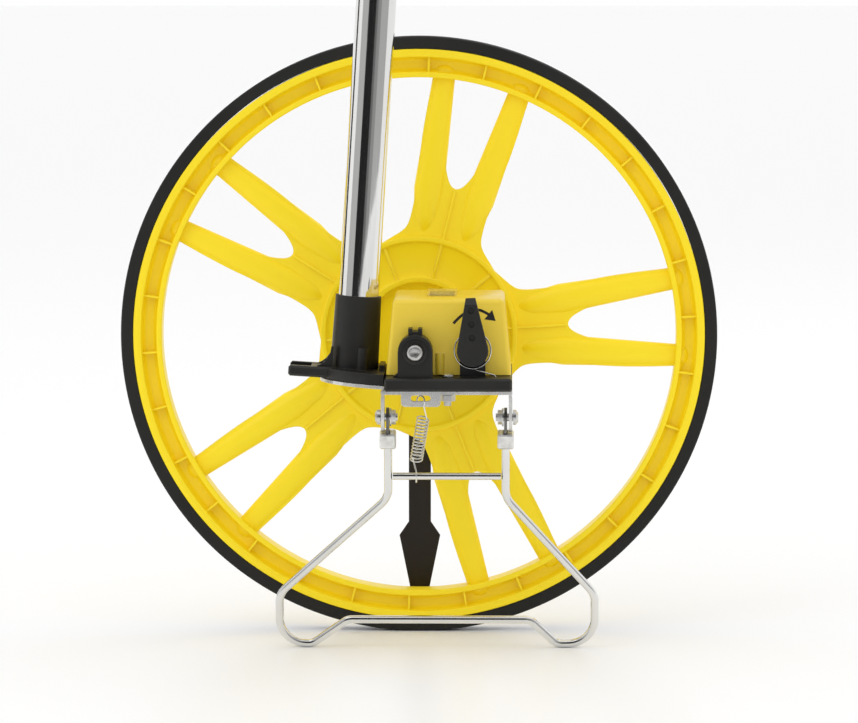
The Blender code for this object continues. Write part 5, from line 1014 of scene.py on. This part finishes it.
@dataclass
class Counter:
    """The counter's base, cover, window, drums and reset lever.

    Attributes:
        drum_axis: x and height of the drums' axis in the world.
        drum_radius: radius of the number drums.
        digit_size: size of the digits on the drums.
        front_low: depth of the cover's front face at its foot.
        front_set_back: how far the face leans back up to its top.
        cover_low: height of the cover's foot from the axle.
        cover_high: height of the cover's top from the axle.
        arrow_line: middle line of the printed arrow, x and height from the axle.
        arrow_head: corners of the arrow's head, likewise.
        lever_place: x and height of the lever's pivot from the axle.
        torsion_depth: depth at which the torsion spring's coil starts, and of its leg.
        torsion_turns: turns of the torsion spring.
        torsion_start: direction in which its coil starts.
        torsion_radius: radius of its coil.
        torsion_pitch: how far it advances in a turn.
        torsion_wire: diameter of its wire.
        torsion_leg_x: x of its leg.
        torsion_leg_heights: heights of the leg's foot and elbow from the axle.
    """

    drum_axis: Pair = (0.0132, 0.172816)
    drum_radius: float = 0.0086
    digit_size: float = 0.0062
    front_low: float = 0.1005
    front_set_back: float = 0.0012
    cover_low: float = -0.0130
    cover_high: float = 0.0260
    arrow_line: tuple[Pair, ...] = ((0.0195, 0.0137), (0.0240, 0.0180), (0.0285, 0.0202), (0.0330, 0.0206),
                                    (0.0377, 0.0184))
    arrow_head: tuple[Pair, ...] = ((0.0395, 0.0207), (0.0413, 0.0150), (0.0354, 0.0158))
    lever_place: Pair = (0.0295, 0.0006)
    torsion_depth: float = 0.10725
    torsion_turns: float = 2.25
    torsion_start: float = radians(-109)
    torsion_radius: float = 0.0094
    torsion_pitch: float = 0.00128
    torsion_wire: float = 0.00075
    torsion_leg_x: float = 0.0412
    torsion_leg_heights: Pair = (-0.01555, -0.01255)

    def front_depth(self, height: float) -> float:
        """Depth of the cover's leaning front face at a height from the axle."""
        share = (height - self.cover_low) / (self.cover_high - self.cover_low)
        return self.front_low - self.front_set_back * share

    def make_arrow(self) -> None:
        """Print the plain curved arrow that shows which way the lever turns."""
        middle = through(self.arrow_line, 6)
        left, right = [], []
        for i, (x, z) in enumerate(middle):
            before, after = middle[max(i - 1, 0)], middle[min(i + 1, len(middle) - 1)]
            along = Vector((after[0] - before[0], after[1] - before[1])).normalized()
            left.append((x - along.y * 0.0007, z + along.x * 0.0007))
            right.append((x + along.y * 0.0007, z - along.x * 0.0007))
        band = cut_sheet("arrow_band", [left + right[::-1]], 0.00005, Matrix.Identity(4))
        head = cut_sheet("arrow_head", [list(self.arrow_head)], 0.00005, Matrix.Identity(4))
        arrow = joined("lever_arrow", [band, head])
        for vertex in arrow.data.vertices:
            x, z, lift = vertex.co
            vertex.co = at(x, self.front_depth(z) + 0.00003 + lift, z)
        dress(tidy_mesh(arrow, 0.0000005), PRINT_BLACK, "counter")

    def make_digits(self) -> None:
        """Print the ten digits round each number drum."""
        flat_digits = []
        for digit in range(10):
            deselect()
            bpy.ops.object.text_add(location=(0, 0, 0))
            text = bpy.context.object
            text.data.body = str(digit)
            text.data.size = self.digit_size
            text.data.align_x = "CENTER"
            text.data.align_y = "CENTER"
            text.data.resolution_u = 3
            bpy.ops.object.convert(target="MESH")
            flat_digits.append(bpy.context.object)
        for drum in range(1, 6):
            low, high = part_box(f"number_drum_{drum}")
            pieces = []
            for digit, source in enumerate(flat_digits):
                piece = bpy.data.objects.new(f"digit_{drum}_{digit}", source.data.copy())
                bpy.context.scene.collection.objects.link(piece)
                for vertex in piece.data.vertices:
                    right, up, _ = vertex.co
                    angle = radians(36 * digit) + up / self.drum_radius
                    reach = self.drum_radius + 0.00004
                    vertex.co = Vector((self.drum_axis[0] + reach * sin(angle), (low.y + high.y) / 2 - right,
                                        self.drum_axis[1] + reach * cos(angle)))
                pieces.append(piece)
            dress(joined(f"drum_digits_{drum}", pieces), PRINT_BLACK, f"drum_{drum}")
        for source in flat_digits:
            bpy.data.objects.remove(source)

    def make_torsion_spring(self) -> None:
        """Wind the spring behind the lever, with one leg in the base."""
        centre = at(self.lever_place[0], self.torsion_depth, self.lever_place[1])
        turns = self.torsion_turns
        radius = self.torsion_radius
        count = ceil(turns * 40)
        coil = []
        for i in range(count + 1):
            angle = self.torsion_start - 2 * pi * turns * i / count
            advance = -self.torsion_pitch * turns * i / count
            coil.append(centre + Vector((radius * cos(angle), advance, radius * sin(angle))))
        foot_height, elbow_height = self.torsion_leg_heights
        foot = at(self.torsion_leg_x, self.torsion_depth, foot_height)
        elbow = at(self.torsion_leg_x, self.torsion_depth, elbow_height)
        elbow_rounding = 0.0012
        lead = rounded_path([foot, elbow, coil[0]], [elbow_rounding], 8)
        spring = bent_wire("torsion_spring_wire", lead[:-1] + coil, self.torsion_wire / 2, 4)
        dress(spring, CHROME_WIRE, "counter", "torsion_spring")

    def build(self) -> None:
        """Dress the counter's nodes and add the printed and wound pieces."""
        dress(refined("counter_base", "base_moulding", 0.0, 32), BLACK_MOULDING, "counter", "counter_base")
        cover = refined("counter_housing", "cover_moulding", 0.0, 50)
        dress(cover, COVER_YELLOW, "counter", "counter_housing")
        dress(refined("reset_lever", "lever_moulding", 0.0, 32), BLACK_MOULDING, "reset", "reset_lever")
        dress(refined("front_bush", "front_bush_ring", 0.0001), BLACK_MOULDING, "counter", "front_bush")
        dress(refined("counter_window", "reading_window", 0.0002), CLEAR_LENS, "counter", "counter_window")
        for name in ("base_screw_1", "base_screw_2"):
            low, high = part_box(name)
            crown = Vector(((low.x + high.x) / 2, (low.y + high.y) / 2, high.z))
            blank = refined(name, f"{name}_cross_head")
            screw = cross_recess(blank, crown, Vector((0, 0, 1)), 0.0015, 0.0009)
            dress(smoothed(screw, 30), ZINC, "counter", name)
        paint(BLACK_MOULDING, "rear_bush")
        paint(ZINC, "counter_frame", "base_nut_1", "base_nut_2")
        paint(STEEL, "transfer_shaft", "drum_shaft", "reset_shaft")
        paint(WHITE_MOULDING, "counter_gear", "reset_comb", *(f"transfer_pinion_{i}" for i in range(1, 5)))
        for drum in range(1, 6):
            ring = refined(f"number_drum_{drum}", f"drum_{drum}_ring", 0.0001)
            dress(ring, WHITE_MOULDING, f"drum_{drum}", f"number_drum_{drum}")
        self.make_arrow()
        self.make_digits()
        self.make_torsion_spring()


@dataclass
class Handle:
    """The socket, the telescopic tubes, their locks and the grip.

    Attributes:
        steps: how many steps the round pieces have.
        radii: outer radii of the three tubes, outermost first.
        starts: where each tube starts along the handle.
        ends: where each tube ends along the handle.
        wall: wall thickness of the tubes.
        lock_seat: how far a lock reaches down over the end of the tube below it.
        lock_radius: radius of the twist locks.
        lock_length: length of the twist locks.
        grip_radius: radius of the grip.
        grip_length: length of the grip.
        cap_radius: radius of the cap on the handle's end.
        cap_height: height of the cap above the grip.
        lock_ribs: number of grip ribs round a lock.
        grip_rings: number of rings along the grip.
    """

    steps: int = 72
    radii: tuple[float, float, float] = (0.0105, 0.00941, 0.00832)
    starts: tuple[float, float, float] = (0.0033, 0.0073, 0.0113)
    ends: tuple[float, float, float] = (0.2753, 0.3059, 0.4303)
    wall: float = 0.0010
    lock_seat: float = 0.0160
    lock_radius: float = 0.0134
    lock_length: float = 0.0300
    grip_radius: float = 0.0142
    grip_length: float = 0.1050
    cap_radius: float = 0.0150
    cap_height: float = 0.0070
    lock_ribs: int = 24
    grip_rings: int = 20

    def make_tubes(self) -> None:
        """Turn the three chromed tubes."""
        rows = zip(("outer", "middle", "inner"), self.radii, self.starts, self.ends,
                   ("counter", "middle_section", "top_section"))
        for name, radius, start, end, body in rows:
            profile = [(radius, start), (radius, end - 0.0003), (radius - 0.0003, end),
                       (radius - self.wall, end), (radius - self.wall, start)]
            tube = spun(f"{name}_tube_sleeve", profile, self.steps, HANDLE_FRAME)
            dress(smoothed(tube, 30), CHROME_TUBE, body, f"{name}_tube")

    def make_lock(self, name: str, index: int, body: str) -> None:
        """Turn a twist lock and stand its grip ribs round it."""
        start = self.ends[index] - self.lock_seat
        end = start + self.lock_length
        wide = self.radii[index] + 0.00009
        narrow = self.radii[index + 1] + 0.00009
        seat = self.ends[index] + 0.0003
        top = self.lock_radius
        profile = [(wide, start), (top - 0.0015, start), (top - 0.0004, start + 0.0005),
                   (top, start + 0.0017),
                   (top, start + 0.0085), (top - 0.0006, start + 0.0090), (top - 0.0006, start + 0.0100),
                   (top, start + 0.0105), (top, end - 0.0017), (top - 0.0004, end - 0.0005),
                   (top - 0.0015, end),
                   (narrow, end), (narrow, seat), (wide, seat)]
        body_piece = spun(f"{name}_collar", profile, self.steps, Matrix.Identity(4))
        ribs = []
        low = (top - 0.0006, -0.0005, start + 0.0115)
        high = (top + 0.0006, 0.0005, end - 0.0022)
        for i in range(self.lock_ribs):
            rib = block(f"{name}_rib_{i}", low, high)
            rib.data.transform(Matrix.Rotation(2 * pi * i / self.lock_ribs, 4, "Z"))
            ribs.append(rib)
        teeth = bevelled(joined(f"{name}_ribs", ribs), 0.0003)
        lock = joined(f"{name}_sleeve", [body_piece, teeth])
        lock.data.transform(HANDLE_FRAME)
        dress(smoothed(lock, 32), BLACK_MOULDING, body, name)

    def make_grip(self) -> None:
        """Turn the grooved grip and its cap."""
        end = self.ends[2]
        start = end - self.grip_length
        profile = [(self.radii[2] + 0.0003, start), (self.grip_radius - 0.0011, start)]
        pitch = (self.grip_length - 0.006) / self.grip_rings
        for i in range(self.grip_rings):
            foot = start + 0.003 + i * pitch
            profile += [(self.grip_radius - 0.0006, foot), (self.grip_radius, foot + 0.25 * pitch),
                        (self.grip_radius, foot + 0.75 * pitch)]
        profile += [(self.grip_radius - 0.0006, end - 0.003), (self.grip_radius - 0.0011, end),
                    (self.radii[2] + 0.0003, end)]
        grip = spun("grip_sleeve", profile, self.steps, HANDLE_FRAME)
        dress(smoothed(grip, 50), TYRE_RUBBER, "top_section", "grip")
        seat = end + 0.0003
        top = seat + self.cap_height
        plug = self.radii[2] - self.wall - 0.0003
        cap_profile = [(0, top), (self.cap_radius - 0.0023, top), (self.cap_radius - 0.0009, top - 0.0005),
                       (self.cap_radius, top - 0.0023), (self.cap_radius, seat + 0.0004),
                       (self.cap_radius - 0.0004, seat), (plug, seat), (plug, seat - 0.0120),
                       (0, seat - 0.0120)]
        cap = spun("end_cap_turned", cap_profile, self.steps, HANDLE_FRAME)
        dress(smoothed(cap, 40), BLACK_MOULDING, "top_section", "end_cap")

    def build(self) -> None:
        """Make the handle's pieces."""
        socket = refined("handle_socket", "socket_moulding", 0.0, 32)
        dress(socket, BLACK_MOULDING, "counter", "handle_socket")
        self.make_tubes()
        self.make_lock("lower_twist_lock", 0, "lower_lock")
        self.make_lock("upper_twist_lock", 1, "upper_lock")
        self.make_grip()
        paint(ZINC, "plate_screw_1", "plate_screw_2", "socket_screw_1", "socket_screw_2")


@dataclass
class Stand:
    """The folded bracket, the wire stand, its pivots and its spring.

    Attributes:
        wire_radius: radius of the bent wire.
        leg_offset: how far each leg is from the stand's middle.
        leg_top: how far below the pivot the legs start.
        drop: how far below the pivot the feet are.
        spring_radius: radius of the spring's coil.
        spring_wire: diameter of the spring's wire.
        hook_radius: radius of the spring's hooks.
        spring_top: middle of the upper hook: x, depth and height from the axle.
        spring_foot_x: x of the lower hook's middle.
        crossbar_drop: how far below the pivot the crossbar is.
        coil_span: where the coil starts and ends, in shares of the way from hook to hook.
        coil_x: x of the coil's start and end.
        coil_turns: turns of the coil.
        hook_turn: how far the upper hook is turned from the viewer's line.
    """

    wire_radius: float = 0.0021
    leg_offset: float = 0.0304
    leg_top: float = 0.0113
    drop: float = hypot(0.0340, 0.12255)
    spring_radius: float = 0.00305
    spring_wire: float = 0.00080
    hook_radius: float = 0.0031
    spring_top: tuple[float, float, float] = (0.0029, 0.1111, -0.0257)
    spring_foot_x: float = 0.0003
    crossbar_drop: float = 0.0328
    coil_span: Pair = (0.21, 0.785)
    coil_x: Pair = (0.0041, 0.0003)
    coil_turns: float = 13.5
    hook_turn: float = radians(40)

    def wire_path(self) -> list[Vector]:
        """The bent wire's centre line, from the left leg's top round both feet to the right one's."""
        corners = [(-self.leg_offset, self.leg_top), (-self.leg_offset, 0.0447), (-0.0878, 0.0990),
                   (-0.0878, self.drop), (-0.0705, self.drop), (-0.0521, 0.1136), (0.0434, 0.1136),
                   (0.0570, self.drop), (0.0770, self.drop), (0.0770, 0.0990), (self.leg_offset, 0.0447),
                   (self.leg_offset, self.leg_top)]
        radii = [0.0120, 0.0120, 0.0140, 0.0070, 0.0070]
        return rounded_path([on_stand(x, drop) for x, drop in corners], radii + radii[::-1], 16)

    def make_spring(self) -> None:
        """Wind the extension spring with its two hooks, from the bracket's slot to the crossbar."""
        top = at(*self.spring_top)
        bottom = on_stand(0, self.crossbar_drop)
        bottom.x = self.spring_foot_x
        start, end = (top.lerp(bottom, share) for share in self.coil_span)
        start.x, end.x = self.coil_x
        forward = Vector((sin(self.hook_turn), -cos(self.hook_turn), 0))
        axis = (end - start).normalized()
        first = (forward - axis * forward.dot(axis)).normalized()
        second = axis.cross(first)
        turns = self.coil_turns
        count = ceil(turns * 28)
        coil = [start + (end - start) * i / count + self.spring_radius * (
            first * cos(2 * pi * turns * i / count) + second * sin(2 * pi * turns * i / count))
            for i in range(count + 1)]
        up = Vector((0, 0, 1))

        def hook(centre: Vector, way: Vector, begin: float, finish: float) -> list[Vector]:
            """Points of a round hook about a centre."""
            steps = 30
            angles = [begin + (finish - begin) * i / steps for i in range(steps + 1)]
            return [centre + self.hook_radius * (way * cos(a) + up * sin(a)) for a in angles]

        path = hook(top, forward, radians(200), radians(-40)) + coil
        path += hook(bottom, Vector((0, -1, 0)), radians(50), radians(-190))
        spring = bent_wire("stand_spring_wire", path, self.spring_wire / 2, 3)
        spring.data.materials.clear()
        spring.data.materials.append(CHROME_WIRE.build())
        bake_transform(spring)
        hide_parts("extension_spring")
        log.info("piece %s blends from counter to stand", spring.name)

    def build(self) -> None:
        """Make the stand's pieces and dress its nodes."""
        wire = bent_wire("stand_wire_bent", self.wire_path(), self.wire_radius, 6)
        dress(wire, CHROME_WIRE, "stand", "stand_wire")
        dress(refined("stand_crossbar", "crossbar_rod", 0.0, 40), CHROME_WIRE, "stand", "stand_crossbar")
        # The hinge strips get zinc painted dark as shade.
        paint(ZINC_IN_PAINTED_SHADE, "left_hinge_strip", "right_hinge_strip")
        paint(CAST_ZINC, "left_crimp_block", "right_crimp_block")
        dress(refined("main_bracket", "bracket_sheet", 0.0, 32), ZINC, "counter", "main_bracket")
        paint(ZINC, "handle_plate")
        for side, outward in (("left", Vector((-1, 0, 0))), ("right", Vector((1, 0, 0)))):
            name = f"{side}_pivot_screw"
            low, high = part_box(name)
            crown = Vector((low.x if side == "left" else high.x, (low.y + high.y) / 2, (low.z + high.z) / 2))
            screw = cross_recess(refined(name, f"{name}_cross_head"), crown, outward, 0.0018, 0.0010)
            dress(smoothed(screw, 30), ZINC, "counter", name)
            nut = refined(f"{side}_pivot_nut", f"{side}_nut", 0.00012, 30)
            dress(nut, ZINC, "counter", f"{side}_pivot_nut")
        self.make_spring()


@dataclass
class Studio:
    """The pale floor, the soft light and the camera.

    Attributes:
        distance: from the camera to the wheel.
        elevation: how far the camera looks down.
        azimuth: how far the camera stands to the right.
        focal: focal length in millimetres on a 36 mm wide sensor.
        aim: the place that the camera looks at.
        sky: strength of the light from all round.
    """

    distance: float = 2.7
    elevation: float = radians(5.1)
    azimuth: float = radians(0.94)
    focal: float = 211.55
    aim: tuple[float, float, float] = (0.0053, 0.04525, 0.14425)
    sky: float = 0.97

    def make_floor(self) -> None:
        """Lay the pale floor with a faint sheen."""
        deselect()
        bpy.ops.mesh.primitive_plane_add(size=24, location=(0, 6, 0))
        floor = bpy.context.object
        floor.name = "floor"
        made = bpy.data.materials.new("floor_white")
        made.use_nodes = True
        shader = made.node_tree.nodes["Principled BSDF"]
        shader.inputs["Base Color"].default_value = (0.97, 0.97, 0.97, 1)
        shader.inputs["Roughness"].default_value = 0.35
        shader.inputs["Specular IOR Level"].default_value = 0.12
        floor.data.materials.append(made)

    def make_card(self, name: str, corners: Sequence[Sequence[float]], level: float) -> None:
        """Stand a card that shows in reflections only.

        Args:
            name: the card's name.
            corners: its four corners.
            level: how bright the card looks in a reflection.
        """
        card = ring_of_edges(name, corners)
        take(card)
        bpy.ops.object.mode_set(mode="EDIT")
        bpy.ops.mesh.select_all(action="SELECT")
        bpy.ops.mesh.edge_face_add()
        bpy.ops.object.mode_set(mode="OBJECT")
        made = bpy.data.materials.new(f"{name}_tone")
        made.use_nodes = True
        tree = made.node_tree
        tree.nodes.clear()
        glow = tree.nodes.new("ShaderNodeEmission")
        glow.inputs["Color"].default_value = (level, level, level, 1)
        leave = tree.nodes.new("ShaderNodeOutputMaterial")
        tree.links.new(glow.outputs["Emission"], leave.inputs["Surface"])
        card.data.materials.append(made)
        card.visible_camera = False
        card.visible_diffuse = False
        card.visible_shadow = False
        card.visible_transmission = False

    def make_cards(self) -> None:
        """Stand the dark and grey cards whose streaks show in the chrome."""
        def card(name: str, start: float, end: float, level: float, reach: float = 2.0) -> None:
            """A tall card between two directions, in degrees to the right of the viewer's line."""
            feet = [(reach * sin(radians(a)), -reach * cos(radians(a))) for a in (start, end)]
            low, high = 0.02, 2.4
            corners = [(*feet[0], low), (*feet[1], low), (*feet[1], high), (*feet[0], high)]
            self.make_card(name, corners, level)

        card("card_dark", -38, 4, 0.02)
        card("card_shade", 4, 16, 0.16)
        card("card_mid", 16, 34, 0.30, 2.05)
        card("card_right", 34, 80, 0.46, 2.1)
        card("card_left", -76, -38, 0.50, 2.05)
        card("card_thin", -118, -104, 0.03, 2.0)

    def light(self) -> None:
        """Set the light from all round and two soft lamps."""
        world = bpy.data.worlds.new("white_room")
        bpy.context.scene.world = world
        world.use_nodes = True
        tree = world.node_tree
        tree.nodes.clear()
        link = tree.links.new
        rays = tree.nodes.new("ShaderNodeLightPath")
        seen = tree.nodes.new("ShaderNodeMath")
        seen.operation = "MAXIMUM"
        seen_too = tree.nodes.new("ShaderNodeMath")
        seen_too.operation = "MAXIMUM"
        room = tree.nodes.new("ShaderNodeBackground")
        room.inputs["Strength"].default_value = self.sky
        white = tree.nodes.new("ShaderNodeBackground")
        white.inputs["Strength"].default_value = 1.0
        mix = tree.nodes.new("ShaderNodeMixShader")
        leave = tree.nodes.new("ShaderNodeOutputWorld")
        for background in (room, white):
            background.inputs["Color"].default_value = (1, 1, 1, 1)
        link(rays.outputs["Is Camera Ray"], seen.inputs[0])
        link(rays.outputs["Is Glossy Ray"], seen.inputs[1])
        link(seen.outputs[0], seen_too.inputs[0])
        link(rays.outputs["Is Transmission Ray"], seen_too.inputs[1])
        link(seen_too.outputs[0], mix.inputs["Fac"])
        link(room.outputs[0], mix.inputs[1])
        link(white.outputs[0], mix.inputs[2])
        link(mix.outputs[0], leave.inputs["Surface"])
        lamps = (("key_lamp", (-1.3, -1.7, 2.1), 9.0, 1.6), ("back_lamp", (1.2, 1.6, 1.9), 4.0, 1.5))
        for name, place, power, size in lamps:
            lamp = bpy.data.lights.new(name, "AREA")
            lamp.energy = power
            lamp.size = size
            holder = bpy.data.objects.new(name, lamp)
            bpy.context.scene.collection.objects.link(holder)
            holder.location = place
            holder.rotation_euler = (Vector(self.aim) - Vector(place)).to_track_quat("-Z", "Y").to_euler()

    def place_camera(self) -> None:
        """Stand the camera about where the photograph was taken from."""
        data = bpy.data.cameras.new("camera")
        data.sensor_width = 36.0
        data.lens = self.focal
        data.clip_end = 60.0
        camera = bpy.data.objects.new("camera", data)
        bpy.context.scene.collection.objects.link(camera)
        aim = Vector(self.aim)
        away = Vector((sin(self.azimuth) * cos(self.elevation), -cos(self.azimuth) * cos(self.elevation),
                       sin(self.elevation)))
        camera.location = aim + self.distance * away
        camera.rotation_euler = (-away).to_track_quat("-Z", "Y").to_euler()
        bpy.context.scene.camera = camera
        bpy.context.scene.view_settings.view_transform = "Standard"

    def build(self) -> None:
        """Set up the studio."""
        self.make_floor()
        self.make_cards()
        self.light()
        self.place_camera()


def main() -> None:
    """Build each sub-assembly and the studio."""
    logging.basicConfig(level=logging.INFO, format="%(name)s: %(message)s")
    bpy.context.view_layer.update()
    for part in (Studio(), Wheel(), Counter(), Handle(), Stand()):
        log.info("building %s", type(part).__name__)
        part.build()
    deselect()


if __name__ == "__main__":
    main()
